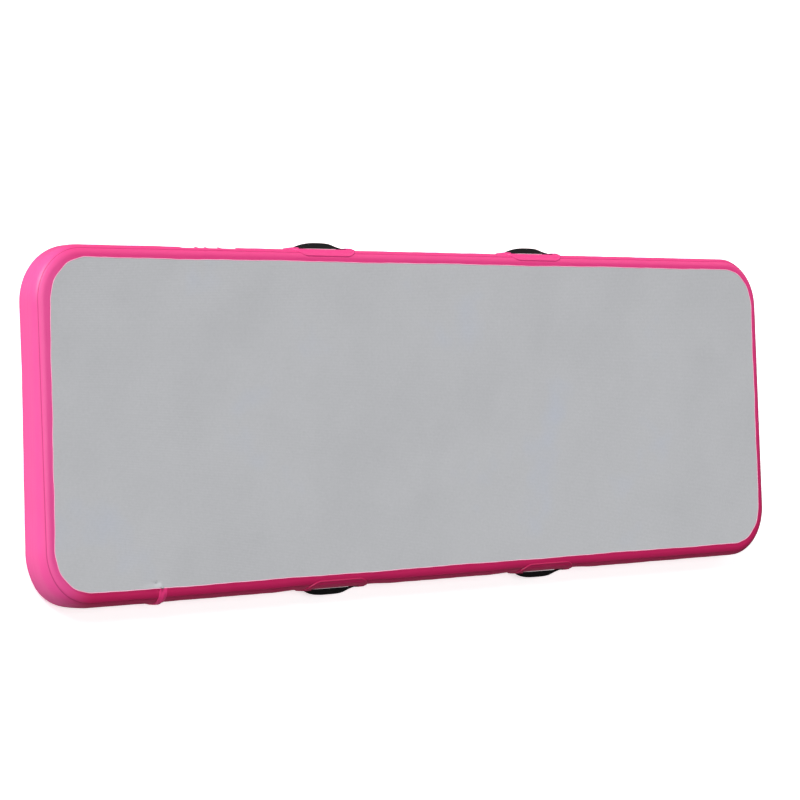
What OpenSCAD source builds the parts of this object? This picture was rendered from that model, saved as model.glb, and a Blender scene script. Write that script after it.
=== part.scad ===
// Inflatable air track mat: a drop-stitch chamber with a taped sidewall, four webbing
// handles and a push-and-turn inflation valve.  X runs along the mat, Y across it, Z up.
// The origin is the middle of the underside, on the floor.

/* [Mat] */
// Overall length of the inflated mat
mat_length = 3000; // [1600:100:6000]
// Overall width of the inflated mat
mat_width = 1000; // [600:50:2000]
// Thickness of the inflated mat
mat_thick = 100; // [90:5:200]
// Radius of the mat's corners in plan, at the wall
corner_r = 160; // [100:10:260]
// Radius of the shoulder where the sidewall turns over to a face
shoulder_r = 31; // [20:1:36]

/* [Fabric layers] */
// Thickness of each coated fabric layer
ply = 1.2; // [0.8:0.1:2]
// Glue line left between curved layers
glue_line = 0.05; // [0.02:0.01:0.1]
// How far the rim tape laps onto each flat face
tape_lap = 8; // [4:1:20]
// Angle above the horizontal at which the rim tape ends on the shoulder
tape_end_angle = 53; // [48:1:70]
// How far the inner sidewall laps under each drop-stitch cloth
inner_lap = 25; // [10:1:50]

/* [Drop-stitch yarns] */
// Distance between two rows of yarn across the mat
yarn_row_pitch = 100; // [80:5:200]
// Length of one zigzag of yarn along the mat
yarn_zigzag_pitch = 100; // [60:5:200]
// Thickness of the bundle of yarns that each zigzag stands for
yarn_bundle = 1.6; // [0.8:0.1:3]
// Distance from the wall to the first yarns
yarn_inset = 75; // [60:5:150]

/* [Sidewall joint] */
// Place of the sidewall's overlap joint along the mat, on the -Y side
joint_strap_x = -1100; // [-1300:10:-700]
// Width of the strap over that joint
joint_strap_w = 32; // [20:1:60]

/* [Handles] */
// Distance of each handle's middle from the middle of the mat
handle_x = 440; // [250:10:700]
// Length of the pink backing patch
patch_length = 252; // [250:1:320]
// Corner radius of the backing patch
patch_corner_r = 38; // [20:1:38]
// Angle above the horizontal at which the backing patch ends, over the rim tape
patch_end_angle = 69; // [60:1:70]
// Width of the webbing
webbing_w = 38; // [25:1:38]
// Thickness of the webbing
webbing_t = 2.5; // [1.5:0.1:4]
// Length of webbing between the two cover patches, along the mat
handle_span = 184; // [130:1:186]
// Length of the middle stretch that the hand holds
grip_length = 110; // [60:1:120]
// Length of webbing held under each cover patch
anchor_length = 24; // [20:1:25]
// Distance of the grip's inner face from the wall, with the strap pulled level
grip_reach = 15; // [14.5:0.5:40]
// Angle by which the strap stands above level, as the last hand left it
lift_angle = 30; // [0:1:32]
// Margin of the cover patch round the webbing end
cover_margin = 6; // [5:1:7]
// Length of one stitch
stitch_length = 3.2; // [2:0.1:5]
// Thickness of the thread
thread_t = 0.7; // [0.4:0.1:1]
// Distance from one stitch to the next
stitch_pitch = 5; // [4:0.5:8]

/* [Valve] */
// Outer radius of the valve barrel that passes through the wall
barrel_r = 18; // [16:0.5:22]
// Wall of the barrel
barrel_wall = 4; // [3:0.5:5]
// Depth of the barrel inside the mat
barrel_depth = 32; // [30:1:45]
// How far the flange reaches beyond the barrel
flange_margin = 8; // [8:0.5:14]
// Thickness of the flange
flange_t = 3; // [2:0.5:5]
// Radius of the flange's rounded edge
flange_edge_r = 1.5; // [0.5:0.1:2]
// Height of the threaded neck that the cap screws onto
neck_h = 8; // [6:0.5:14]
// Thickness of the flange gasket
gasket_t = 1; // [0.5:0.1:2]
// Radius of the reinforcing patch round the valve
valve_patch_r = 40; // [34:1:44]
// Wall of the clamping nut inside the mat
nut_wall = 4; // [3:0.5:5]
// Gap between the lock nut and the nearest point of the curved inner sidewall
nut_clear = 0.1; // [0.05:0.05:0.3]
// Height of the clamping nut
nut_h = 8; // [5:0.5:12]
// Radius of the stem
stem_r = 2; // [1.5:0.1:2.5]
// Radius of the poppet that closes the seat
poppet_r = 12; // [11:0.1:12.5]
// Radius of the button on the stem's outer end
button_r = 5.5; // [5:0.1:8]
// How far the stem is pushed in to open the valve
push_travel = 6; // [3:0.5:7]
// Wire diameter of the valve spring
spring_wire = 0.7; // [0.5:0.1:0.9]
// Number of coils in the valve spring
spring_coils = 5; // [4:1:7]
// Wall thickness of the cap
cap_wall = 2.9; // [2.9:0.1:4]
// Thickness of the cap's seal
cap_seal_t = 1.2; // [0.8:0.1:2]
// Number of finger notches round the cap
cap_notches = 12; // [6:1:16]

/* [Clearances] */
// Radial clearance of the barrel in the wall and the nut
barrel_clear = 0.2; // [0.1:0.05:0.5]
// Radial running clearance of the stem and the tether ring
running_clear = 0.08; // [0.05:0.01:0.1]
// Radial clearance of the cap over the neck
cap_clear = 0.5; // [0.3:0.1:1]
// Gap between faces of moving pieces that close on each other
face_clear = 0.1; // [0.05:0.05:0.3]

/* [Hidden] */
HANDLES = [1, 2, 3, 4];
HANDLE_PARTS = ["backing_patch", "cover_patches", "stitching", "webbing_ends", "webbing_grip"];
$fn = 96;

// sidewall section: the arcs of both shoulders share their centres with every layer
wall_r = shoulder_r - ply;
arc_low = shoulder_r;
arc_high = mat_thick - shoulder_r;
mid_z = mat_thick / 2;
cloth_top = mat_thick - ply;
cloth_inset = wall_r;
grip_inset = wall_r + tape_lap;
inner_face = -2 * ply - glue_line;
patch_face = glue_line + ply;
handle_face = glue_line + 2 * ply;
section_reach = 3 * shoulder_r;

// handles
tape_room_angle = 0.2;
patch_height = 2 * (arc_high - mid_z + (wall_r + handle_face) * sin(patch_end_angle));
cover_face = handle_face + webbing_t + ply;
cover_length = anchor_length + cover_margin;
cover_height = webbing_w + 2 * cover_margin;
cover_corner_r = 5;
anchor_mid = handle_span / 2 + anchor_length / 2;

// valve, measured along its axis from the outside of the sidewall
gasket_x = patch_face;
flange_x = gasket_x + gasket_t;
neck_x = flange_x + flange_t;
mouth_x = neck_x + neck_h;
neck_r = barrel_r - 1;
bore_r = barrel_r - barrel_wall;
flange_r = barrel_r + flange_margin;
nut_r = barrel_r + nut_wall;
inner_r = wall_r + inner_face;
nut_past = max(0, nut_r - (arc_high - mid_z));
nut_sag = inner_r - sqrt(inner_r * inner_r - nut_past * nut_past);
nut_x = inner_face - nut_clear - nut_sag;
seat_x = -16;
seat_t = 2;
seat_r = poppet_r - 2;
spider_x = -12;
spider_t = 2;
hub_r = 5;
button_x = 1.2;
button_t = 2.5;
spring_seat_t = 1;
spring_mid_r = 3.9;
cap_in_r = neck_r + cap_clear;
cap_out_r = cap_in_r + cap_wall;
cap_base_x = neck_x + 0.4;
cap_top_x = mouth_x + face_clear + cap_seal_t;
cap_top_t = 2.5;
groove_x = cap_base_x + 1.2;
groove_w = 2.6;
groove_depth = 1.4;
tether_ring_w = 3.2;
tether_gap = 0.2;
tether_w = 6;

// ---------- outlines and sweeps ----------

// Rectangle with round corners, centred, drawn from squares and true circles
module round_rect(l, w, r) {
    square([l - 2 * r, w], center = true);
    square([l, w - 2 * r], center = true);
    for (sx = [-1, 1], sy = [-1, 1])
        translate([sx * (l / 2 - r), sy * (w / 2 - r)]) circle(r);
}

// A flat layer of the mat, set in from the wall by inset, from z upwards by t
module flat_layer(inset, z, t) {
    translate([0, 0, z]) linear_extrude(t)
        round_rect(mat_length - 2 * inset, mat_width - 2 * inset, corner_r - inset);
}

// Everything inside the wall surface moved out by o: x is out from the wall, y is height
module wall_shape(o) {
    translate([-wall_r, arc_low]) square([wall_r + o, arc_high - arc_low]);
    for (z = [arc_low, arc_high]) translate([-wall_r, z]) circle(wall_r + o);
}

// One layer of the sidewall's section, between offsets o_in and o_out
module wall_band(o_in, o_out) {
    intersection() {
        difference() {
            wall_shape(o_out);
            wall_shape(o_in);
        }
        translate([-wall_r, 0]) square([section_reach, mat_thick]);
    }
}

// The part of a wall layer between an angle on the upper shoulder and the face
module tape_wedge(end_angle) {
    translate([-wall_r, arc_high])
        polygon([[0, 0],
                 [section_reach * cos(end_angle), section_reach * sin(end_angle)],
                 [0, section_reach]]);
}

// Carries a section once round the mat
module sweep_rim() {
    long_run = mat_length - 2 * corner_r;
    short_run = mat_width - 2 * corner_r;
    for (side = [0 : 3]) {
        run = side % 2 == 0 ? long_run : short_run;
        out = side % 2 == 0 ? mat_width / 2 : mat_length / 2;
        rotate([0, 0, 90 * side]) translate([-run / 2, out, 0])
            rotate([90, 0, 90]) linear_extrude(run) children();
    }
    for (side = [0 : 3]) {
        sx = side == 0 || side == 3 ? 1 : -1;
        sy = side < 2 ? 1 : -1;
        translate([sx * long_run / 2, sy * short_run / 2, 0]) rotate([0, 0, 90 * side])
            rotate_extrude(angle = 90) translate([corner_r, 0]) children();
    }
}

// A patch that lies on the +Y wall: the outline is drawn in x and height, centred mid-wall
module on_wall(o_in, o_out, length) {
    translate([0, mat_width / 2, 0]) intersection() {
        translate([-length / 2, 0, 0]) rotate([90, 0, 90]) linear_extrude(length)
            wall_band(o_in, o_out);
        translate([0, section_reach, mid_z]) rotate([90, 0, 0]) linear_extrude(2 * section_reach)
            children();
    }
}

// ---------- mat ----------

module top_grip_layer() color("#b2b6b9") flat_layer(grip_inset, cloth_top, ply);

module top_drop_stitch_cloth() color("#9a9da0") flat_layer(cloth_inset, cloth_top - ply, ply);

module bottom_drop_stitch_cloth() color("#9a9da0") flat_layer(cloth_inset, ply, ply);

module bottom_skin_layer() color("#a9adb0") flat_layer(grip_inset, 0, ply);

// Rows of zigzag yarn between the two cloths, each row one flat zigzag
module drop_stitch_yarns() {
    low = 2 * ply;
    high = mat_thick - 2 * ply;
    zigzags = floor((mat_length - 2 * yarn_inset) / yarn_zigzag_pitch);
    rows = floor((mat_width - 2 * yarn_inset) / yarn_row_pitch) + 1;
    start_x = -zigzags * yarn_zigzag_pitch / 2;
    lean = yarn_bundle;
    rise = [for (i = [0 : 2 * zigzags])
        [start_x + i * yarn_zigzag_pitch / 2, i % 2 == 0 ? low : high - lean]];
    back = [for (i = [2 * zigzags : -1 : 0])
        [start_x + i * yarn_zigzag_pitch / 2, i % 2 == 0 ? low + lean : high]];
    color("#e8e8e4") for (row = [0 : rows - 1])
        translate([0, (row - (rows - 1) / 2) * yarn_row_pitch + yarn_bundle / 2, 0])
            rotate([90, 0, 0]) linear_extrude(yarn_bundle) polygon(concat(rise, back));
}

module inner_sidewall() {
    lap_x = -wall_r - inner_lap;
    color("#d83c86") difference() {
        sweep_rim() {
            wall_band(inner_face, -ply - glue_line);
            translate([lap_x, arc_high + wall_r + inner_face]) square([inner_lap, ply]);
            translate([lap_x, arc_low - wall_r - inner_face - ply]) square([inner_lap, ply]);
        }
        valve_hole();
    }
}

module outer_sidewall() color("#f94f9a") difference() {
    sweep_rim() wall_band(-ply, 0);
    valve_hole();
}

// Tape that covers the joint of sidewall and cloth, flush with the face layer
module rim_tape() sweep_rim() {
    intersection() {
        wall_band(glue_line, ply);
        tape_wedge(tape_end_angle);
    }
    translate([-grip_inset, cloth_top + glue_line]) square([tape_lap, ply - glue_line]);
}

module upper_rim_tape() color("#fb5aa2") rim_tape();

module lower_rim_tape()
    color("#fb5aa2") translate([0, 0, mat_thick]) rotate([180, 0, 0]) rim_tape();

// Strap glued over the sidewall's overlap joint, between the two rim tapes
module sidewall_joint_strap() {
    height = 2 * (arc_high - mid_z + wall_r * sin(tape_end_angle - 2));
    color("#f0408e") rotate([0, 0, 180]) translate([-joint_strap_x, 0, 0])
        on_wall(glue_line, ply, joint_strap_w + 2) round_rect(joint_strap_w, height, 3);
}

// ---------- handles ----------

// Handles 1 and 2 are on the +Y side and 3 and 4 on the -Y side
module place_handle(n) {
    side = n <= 2 ? 0 : 180;
    x = n % 2 == 1 ? -handle_x : handle_x;
    rotate([0, 0, side]) translate([side == 0 ? x : -x, 0, 0]) children();
}

// The two strap ends of a handle, one on each side of its middle
module both_ends() for (m = [0, 1]) mirror([m, 0, 0]) children();

// The space that both rim tapes take up along a side, with a glue line round it
module tape_room() {
    translate([-patch_length, mat_width / 2, 0]) rotate([90, 0, 90])
        linear_extrude(2 * patch_length) for (flip = [0, 1])
            translate([0, flip * mat_thick]) mirror([0, flip]) intersection() {
                wall_shape(ply + glue_line);
                tape_wedge(tape_end_angle - tape_room_angle);
            }
}

// Backing patch: two plies on the sidewall, with its edges feathered out over the rim tapes
module handle_backing_patch() color("#fb5aa2") difference() {
    on_wall(glue_line, handle_face, patch_length + 2)
        round_rect(patch_length, patch_height, patch_corner_r);
    tape_room();
}

// Webbing where it lies flat on the backing patch, grown by c into its pocket
module anchored_webbing(c) {
    translate([handle_span / 2 - c, mat_width / 2 + handle_face, mid_z - webbing_w / 2 - c])
        cube([anchor_length + 2 * c, webbing_t + c, webbing_w + 2 * c]);
}

module handle_cover_patches() color("#f94f9a") both_ends() difference() {
    on_wall(handle_face + glue_line, cover_face, patch_length)
        translate([handle_span / 2 + cover_length / 2, 0])
            round_rect(cover_length, cover_height, cover_corner_r);
    anchored_webbing(glue_line);
}

// A row of stitches along x, centred on the cover patch at height z above mid-wall
module stitch_row(z) {
    count = floor((anchor_length - stitch_length) / stitch_pitch) + 1;
    for (i = [0 : count - 1])
        translate([anchor_mid + (i - (count - 1) / 2) * stitch_pitch - stitch_length / 2,
                   mat_width / 2 + cover_face, mid_z + z - thread_t / 2])
            cube([stitch_length, thread_t, thread_t]);
}

// A column of stitches across the webbing at place x
module stitch_column(x) {
    count = floor((webbing_w - 3 * stitch_length) / stitch_pitch);
    for (i = [0 : count - 1])
        translate([x - thread_t / 2, mat_width / 2 + cover_face,
                   mid_z + (i - (count - 1) / 2) * stitch_pitch - stitch_length / 2])
            cube([thread_t, thread_t, stitch_length]);
}

module handle_stitching() color("#201c1e") both_ends() {
    row_z = webbing_w / 2 - stitch_length;
    column_x = anchor_length / 2 - stitch_length / 2;
    for (s = [-1, 1]) {
        stitch_row(s * row_z);
        stitch_column(anchor_mid + s * column_x);
    }
}

// Moves a piece from level to its lifted place, turning it about the handle's swing axis
module lifted() {
    translate([0, mat_width / 2, mid_z]) rotate([lift_angle, 0, 0])
        translate([0, -mat_width / 2, -mid_z]) children();
}

// A slab across the webbing, from the inner face of the grip outwards, starting at x
module grip_slab(x, length) {
    translate([x, mat_width / 2 + grip_reach, mid_z - webbing_w / 2])
        cube([length, webbing_t, webbing_w]);
}

module handle_webbing_grip() color("#1b1719") lifted() grip_slab(-grip_length / 2, grip_length);

// Flat ends under the cover patches and the legs that twist up to the grip
module handle_webbing_ends() color("#1b1719") both_ends() {
    lip = 0.5;
    anchored_webbing(0);
    hull() {
        translate([handle_span / 2 - lip, mat_width / 2 + handle_face, mid_z - webbing_w / 2])
            cube([lip, webbing_t, webbing_w]);
        lifted() grip_slab(grip_length / 2, lip);
    }
}

// ---------- valve ----------

// Stands a piece drawn along +Z on the middle of the +X end, pointing outwards
module place_valve() translate([mat_length / 2, 0, mid_z]) rotate([0, 90, 0]) children();

// A ring from x upwards, h high, between radii r_in and r_out
module ring(x, h, r_in, r_out) translate([0, 0, x]) difference() {
    cylinder(h = h, r = r_out);
    translate([0, 0, -1]) cylinder(h = h + 2, r = r_in);
}

// A ring like that, with its outer edge rounded on the side away from the wall
module soft_ring(x, h, r_in, r_out, edge) rotate_extrude() {
    translate([r_in, x]) square([r_out - edge - r_in, h]);
    translate([r_in, x]) square([r_out - r_in, h - edge]);
    translate([r_out - edge, x + h - edge]) circle(edge);
}

module valve_hole() place_valve()
    translate([0, 0, -wall_r]) cylinder(h = 2 * wall_r, r = barrel_r + barrel_clear);

module valve_patch() {
    side = 2 * valve_patch_r;
    color("#fb5aa2") difference() {
        rotate([0, 0, -90]) translate([0, (mat_length - mat_width) / 2, 0])
            on_wall(glue_line, patch_face, side + 2) circle(valve_patch_r);
        valve_hole();
    }
}

module valve_gasket() color("#2a2a2c") place_valve()
    ring(gasket_x, gasket_t, barrel_r + barrel_clear, flange_r - 2);

// Barrel, flange, neck, seat ring and the spider that guides the stem
module valve_housing() color("#26262a") place_valve() difference() {
    union() {
        ring(-barrel_depth, barrel_depth + flange_x, bore_r, barrel_r);
        soft_ring(flange_x, flange_t, bore_r, flange_r, min(flange_edge_r, flange_t / 2));
        ring(neck_x, neck_h, bore_r, neck_r);
        ring(seat_x, seat_t, seat_r, bore_r + 0.5);
        translate([0, 0, spider_x]) cylinder(h = spider_t, r = hub_r);
        for (a = [0 : 120 : 240]) rotate([0, 0, a])
            translate([0, -1.5, spider_x]) cube([bore_r + 0.5, 3, spider_t]);
    }
    translate([0, 0, -barrel_depth]) cylinder(h = barrel_depth, r = stem_r + running_clear);
}

// Clamping nut inside the mat, with notches for its spanner
module valve_nut() color("#303034") place_valve() difference() {
    ring(nut_x - nut_h, nut_h, barrel_r + barrel_clear, nut_r);
    for (a = [30 : 60 : 330]) rotate([0, 0, a])
        translate([nut_r, 0, nut_x - nut_h - 1]) cylinder(h = nut_h / 2 + 1, r = 2);
}

// Stem with the poppet on its inner end and the slotted button on its outer end
module valve_stem() color("#d9d9dc") place_valve() difference() {
    union() {
        translate([0, 0, seat_x - 4]) cylinder(h = button_x - seat_x + 4, r = stem_r);
        translate([0, 0, seat_x - 4]) cylinder(h = 2.4, r = poppet_r);
        translate([0, 0, button_x]) cylinder(h = button_t, r = button_r);
    }
    translate([-button_r, -0.6, button_x + button_t - 1]) cube([2 * button_r, 1.2, 2]);
}

module valve_seal() color("#1e1e20") place_valve()
    ring(seat_x - 1.6, 1.6 - face_clear, seat_r - 2, poppet_r);

module valve_spring_seat() color("#c9c9cc") place_valve()
    ring(button_x - spring_seat_t, spring_seat_t - 0.02, stem_r + running_clear, hub_r);

// Compression spring: a six-sided wire carried along a helix between spider and seat
module valve_spring() {
    wire_r = spring_wire / 2;
    low = spider_x + spider_t + wire_r + 0.02;
    high = button_x - spring_seat_t - wire_r - 0.02;
    sides = 6;
    steps = spring_coils * 14;
    ring_at = function (i) [for (s = [0 : sides - 1])
        let (turn = 360 * spring_coils * i / steps,
             a = 360 * s / sides,
             r = spring_mid_r + wire_r * cos(a))
        [r * cos(turn), r * sin(turn), low + (high - low) * i / steps + wire_r * sin(a)]];
    points = [for (i = [0 : steps]) each ring_at(i)];
    skin = [for (i = [0 : steps - 1], s = [0 : sides - 1])
        let (a = i * sides + s, b = i * sides + (s + 1) % sides) [a, b, b + sides, a + sides]];
    first = [for (s = [sides - 1 : -1 : 0]) s];
    last = [for (s = [0 : sides - 1]) steps * sides + s];
    color("#b9bcc0") place_valve() polyhedron(points, concat([first, last], skin));
}

// Screw cap with a groove for the tether ring and finger notches round its rim
module valve_cap() color("#26262a") place_valve() difference() {
    union() {
        ring(cap_base_x, cap_top_x - cap_base_x, cap_in_r, cap_out_r);
        translate([0, 0, cap_top_x]) cylinder(h = cap_top_t, r = cap_out_r);
    }
    ring(groove_x, groove_w, cap_out_r - groove_depth, cap_out_r + 1);
    for (i = [0 : cap_notches - 1]) rotate([0, 0, 360 * i / cap_notches])
        translate([cap_out_r + 0.8, 0, groove_x + groove_w + 1])
            cylinder(h = cap_top_x + cap_top_t, r = 1.6);
}

module valve_cap_seal() color("#1e1e20") place_valve()
    ring(mouth_x + face_clear, cap_seal_t, bore_r - 2, cap_in_r - 0.1);

tether_in_r = cap_out_r - groove_depth + running_clear;
tether_out_r = tether_in_r + tether_ring_w;

module valve_tether_ring() color("#303034") place_valve()
    ring(groove_x + tether_gap, groove_w - 2 * tether_gap, tether_in_r, tether_out_r);

// Short web from the flange up to the ring's level; it flexes as the cap is lifted
module valve_tether_strap() color("#303034") place_valve()
    translate([tether_out_r + running_clear, -tether_w / 2, neck_x])
        cube([flange_r - tether_out_r - running_clear, tether_w, groove_x + groove_w - neck_x]);

// ---------- nodes ----------

top_grip_layer();
top_drop_stitch_cloth();
bottom_drop_stitch_cloth();
bottom_skin_layer();
drop_stitch_yarns();
inner_sidewall();
outer_sidewall();
upper_rim_tape();
lower_rim_tape();
sidewall_joint_strap();
valve_patch();
valve_gasket();
valve_housing();
valve_nut();
valve_stem();
valve_seal();
valve_spring();
valve_spring_seat();
valve_cap();
valve_cap_seal();
valve_tether_ring();
valve_tether_strap();
for (n = HANDLES) place_handle(n) {
    handle_backing_patch();
    handle_cover_patches();
    handle_stitching();
    handle_webbing_ends();
    handle_webbing_grip();
}
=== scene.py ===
import logging
from dataclasses import dataclass
from enum import Enum

import bmesh
import bpy
import numpy as np
from mathutils import Matrix, Vector


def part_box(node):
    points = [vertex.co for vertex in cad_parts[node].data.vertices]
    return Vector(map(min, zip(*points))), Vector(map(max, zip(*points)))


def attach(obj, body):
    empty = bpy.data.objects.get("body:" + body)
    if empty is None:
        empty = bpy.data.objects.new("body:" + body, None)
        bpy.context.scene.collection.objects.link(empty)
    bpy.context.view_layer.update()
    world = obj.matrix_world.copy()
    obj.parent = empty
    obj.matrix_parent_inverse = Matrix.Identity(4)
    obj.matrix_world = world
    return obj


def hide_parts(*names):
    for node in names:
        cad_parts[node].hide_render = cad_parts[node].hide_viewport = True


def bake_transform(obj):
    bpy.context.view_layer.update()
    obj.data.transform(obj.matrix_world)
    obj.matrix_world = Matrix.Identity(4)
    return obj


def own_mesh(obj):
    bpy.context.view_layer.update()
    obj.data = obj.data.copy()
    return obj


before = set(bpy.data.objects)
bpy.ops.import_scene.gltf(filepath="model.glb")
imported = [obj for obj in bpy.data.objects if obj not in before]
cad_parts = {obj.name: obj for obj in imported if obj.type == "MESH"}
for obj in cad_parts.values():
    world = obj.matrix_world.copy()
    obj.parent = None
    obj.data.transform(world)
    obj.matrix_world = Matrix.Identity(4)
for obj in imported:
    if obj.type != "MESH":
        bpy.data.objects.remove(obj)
LOG = logging.getLogger("air_track")
MM = 0.001

# What the handle patches' lower edges keep from the floor.
FLOOR_GAP = 0.2 * MM
# The plan radius of the mat's corners, at the wall.
CORNER_R = 0.160
# Ratio of the used webbing's width to the new webbing's.
SPREAD = 1.03
# What the grip's upper edge leans in further than in the CAD.
TUCK = 0.5 * MM
# How far each strap stands out from the wall, left as the last hand dropped it.
STRAP_REACH = {1: 14.2 * MM, 2: 14.2 * MM, 3: 14.4 * MM, 4: 15.0 * MM}
# How far the middle of a strap stands above level.
LIFT = np.radians(30.0)
# How far the valve's gasket reaches past the hole in the wall, all round.
GASKET_LAP = 5.8 * MM
# Where each printed bar starts along the mat, and its length.
PRINT_BARS = ((-0.989, 0.050), (-0.928, 0.024), (-0.893, 0.038), (-0.844, 0.056))


# ---------- numbers and fields ----------


def smooth(x: np.ndarray, low: float, high: float) -> np.ndarray:
    """Rises from 0 at low to 1 at high with level ends.

    Args:
        x: Values to ramp.
        low: Value at which the ramp leaves 0.
        high: Value at which it reaches 1.

    Returns:
        The ramp, 3q^2 - 2q^3 of the clipped share q of the way.
    """
    q = np.clip((x - low) / (high - low), 0.0, 1.0)
    return q * q * (3.0 - 2.0 * q)


def hill(x: np.ndarray, centre: float, width: float) -> np.ndarray:
    """A bell, exp(-((x - centre) / width)^2)."""
    return np.exp(-(((x - centre) / width) ** 2))


def squared(turn: np.ndarray, power: float) -> np.ndarray:
    """One coordinate of a superellipse: a sine or cosine raised to a power with its sign kept."""
    return np.sign(turn) * np.abs(turn) ** power


@dataclass(frozen=True)
class Ripple:
    """A gentle unevenness of inflated fabric: plane waves whose directions turn by the golden angle.

    Attributes:
        height: Greatest rise above or fall below the true surface, in metres.
        wavelength: Longest wavelength, in metres; each wave is shorter by a fixed share.
        waves: Number of waves added together.
        shift: Phase that tells one ripple from another.
    """

    height: float
    wavelength: float
    waves: int = 6
    shift: float = 0.0

    def at(self, points: np.ndarray) -> np.ndarray:
        """Height of the ripple at points.

        Args:
            points: Positions, with x, y and z on the last axis.

        Returns:
            The mean of the waves sin(2 pi d.p / w + phase), times the height.
        """
        order = np.arange(self.waves)
        turn = order * 2.399963 + self.shift
        rise = np.cos(order * 1.7 + self.shift)
        ways = np.stack([np.cos(turn), np.sin(turn), rise], axis=1)
        lengths = self.wavelength * 0.78**order
        phase = np.tensordot(points, (ways / lengths[:, None]).T, axes=1) * 2.0 * np.pi
        return self.height * np.sin(phase + order * 1.3 + self.shift).mean(axis=-1) * 2.0


def crowded(low: float, high: float, count: int, centre: float, width: float, gain: float) -> np.ndarray:
    """Positions from low to high that lie closer together round a centre.

    Args:
        low: First position.
        high: Last position.
        count: How many positions.
        centre: Where they crowd.
        width: How far the crowding reaches.
        gain: How many times closer they lie at the centre, less one.

    Returns:
        The positions at equal steps of the running sum of 1 + gain x bell.
    """
    fine = np.linspace(low, high, 4000)
    total = np.cumsum(1.0 + gain * hill(fine, centre, width))
    return np.interp(np.linspace(total[0], total[-1], count), total, fine)


# ---------- meshes ----------


def grid_faces(index: np.ndarray) -> np.ndarray:
    """Quads between neighbours of a table of vertex numbers.

    Args:
        index: Vertex numbers in rows and columns; a closed direction repeats its first line.

    Returns:
        One row of four vertex numbers for each quad.
    """
    quads = np.stack([index[:-1, :-1], index[1:, :-1], index[1:, 1:], index[:-1, 1:]], axis=-1)
    return quads.reshape(-1, 4)


def closed_faces(rows: int, cols: int, wrap: bool) -> np.ndarray:
    """Quads of a thin body made of two matching grids, the second numbered after the first.

    Args:
        rows: Number of rows in each grid.
        cols: Number of columns in each grid.
        wrap: Whether the last row joins the first, as on a band that runs round the mat.

    Returns:
        The quads of both grids and of the strips that close their free edges.
    """
    outer = np.arange(rows * cols).reshape(rows, cols)
    if wrap:
        outer = np.vstack([outer, outer[:1]])
    inner = outer + rows * cols
    parts = [grid_faces(outer), grid_faces(inner[:, ::-1])]
    parts.append(grid_faces(np.stack([inner[:, 0], outer[:, 0]], axis=1)))
    parts.append(grid_faces(np.stack([outer[:, -1], inner[:, -1]], axis=1)))
    if not wrap:
        parts.append(grid_faces(np.stack([inner[0], outer[0]], axis=0)))
        parts.append(grid_faces(np.stack([outer[-1], inner[-1]], axis=0)))
    return np.concatenate(parts)


def signed_volume(points: np.ndarray, quads: np.ndarray) -> float:
    """Volume inside a closed mesh, negative where its faces look inwards.

    Args:
        points: Vertex positions.
        quads: Four vertex numbers a face.

    Returns:
        A sixth of the sum of a.(b x c) over the two triangles of each quad.
    """
    a, b, c, d = (points[quads[:, k]] for k in range(4))
    first = np.einsum("ij,ij->i", a, np.cross(b, c))
    second = np.einsum("ij,ij->i", a, np.cross(c, d))
    return float((first + second).sum() / 6.0)


def make_piece(
    name: str,
    points: np.ndarray,
    quads: np.ndarray,
    material: bpy.types.Material,
    uv: np.ndarray | None = None,
) -> bpy.types.Object:
    """Puts points and quads into a new smooth-shaded mesh whose faces look outwards.

    Args:
        name: Name of the piece.
        points: Vertex positions in metres, in the shared frame.
        quads: Four vertex numbers a face.
        material: The piece's finish.
        uv: A place on the cloth for each vertex, in metres, where a pattern follows the surface.

    Returns:
        The new object, linked into the scene.
    """
    points = np.ascontiguousarray(points.reshape(-1, 3))
    if signed_volume(points - points.mean(axis=0), quads) < 0.0:
        quads = quads[:, ::-1]
    quads = np.ascontiguousarray(quads)
    mesh = bpy.data.meshes.new(name)
    mesh.vertices.add(len(points))
    mesh.vertices.foreach_set("co", points.astype(np.float32).ravel())
    mesh.loops.add(quads.size)
    mesh.loops.foreach_set("vertex_index", quads.astype(np.int32).ravel())
    mesh.polygons.add(len(quads))
    mesh.polygons.foreach_set("loop_start", np.arange(0, quads.size, 4, dtype=np.int32))
    mesh.polygons.foreach_set("use_smooth", np.ones(len(quads), dtype=bool))
    mesh.update(calc_edges=True)
    mesh.validate()
    if uv is not None:
        layer = mesh.uv_layers.new(name="cloth")
        layer.data.foreach_set("uv", uv[quads.ravel()].astype(np.float32).ravel())
    mesh.materials.append(material)
    piece = bpy.data.objects.new(name, mesh)
    bpy.context.scene.collection.objects.link(piece)
    return piece


def sharpen(piece: bpy.types.Object, degrees: float) -> None:
    """Marks the edges of a piece that turn by more than an angle as sharp, so they shade crisply."""
    piece.data.set_sharp_from_angle(angle=np.radians(degrees))


def shell(
    name: str,
    outer: np.ndarray,
    inner: np.ndarray,
    material: bpy.types.Material,
    wrap: bool = False,
) -> bpy.types.Object:
    """A thin closed body between two matching grids of points.

    Args:
        name: Name of the piece.
        outer: Outer grid, rows x columns x 3.
        inner: Inner grid of the same shape.
        material: The piece's finish.
        wrap: Whether the last row joins the first.

    Returns:
        The new object.
    """
    rows, cols = outer.shape[:2]
    points = np.concatenate([outer.reshape(-1, 3), inner.reshape(-1, 3)])
    piece = make_piece(name, points, closed_faces(rows, cols, wrap), material)
    sharpen(piece, 40.0)
    return piece


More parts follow.
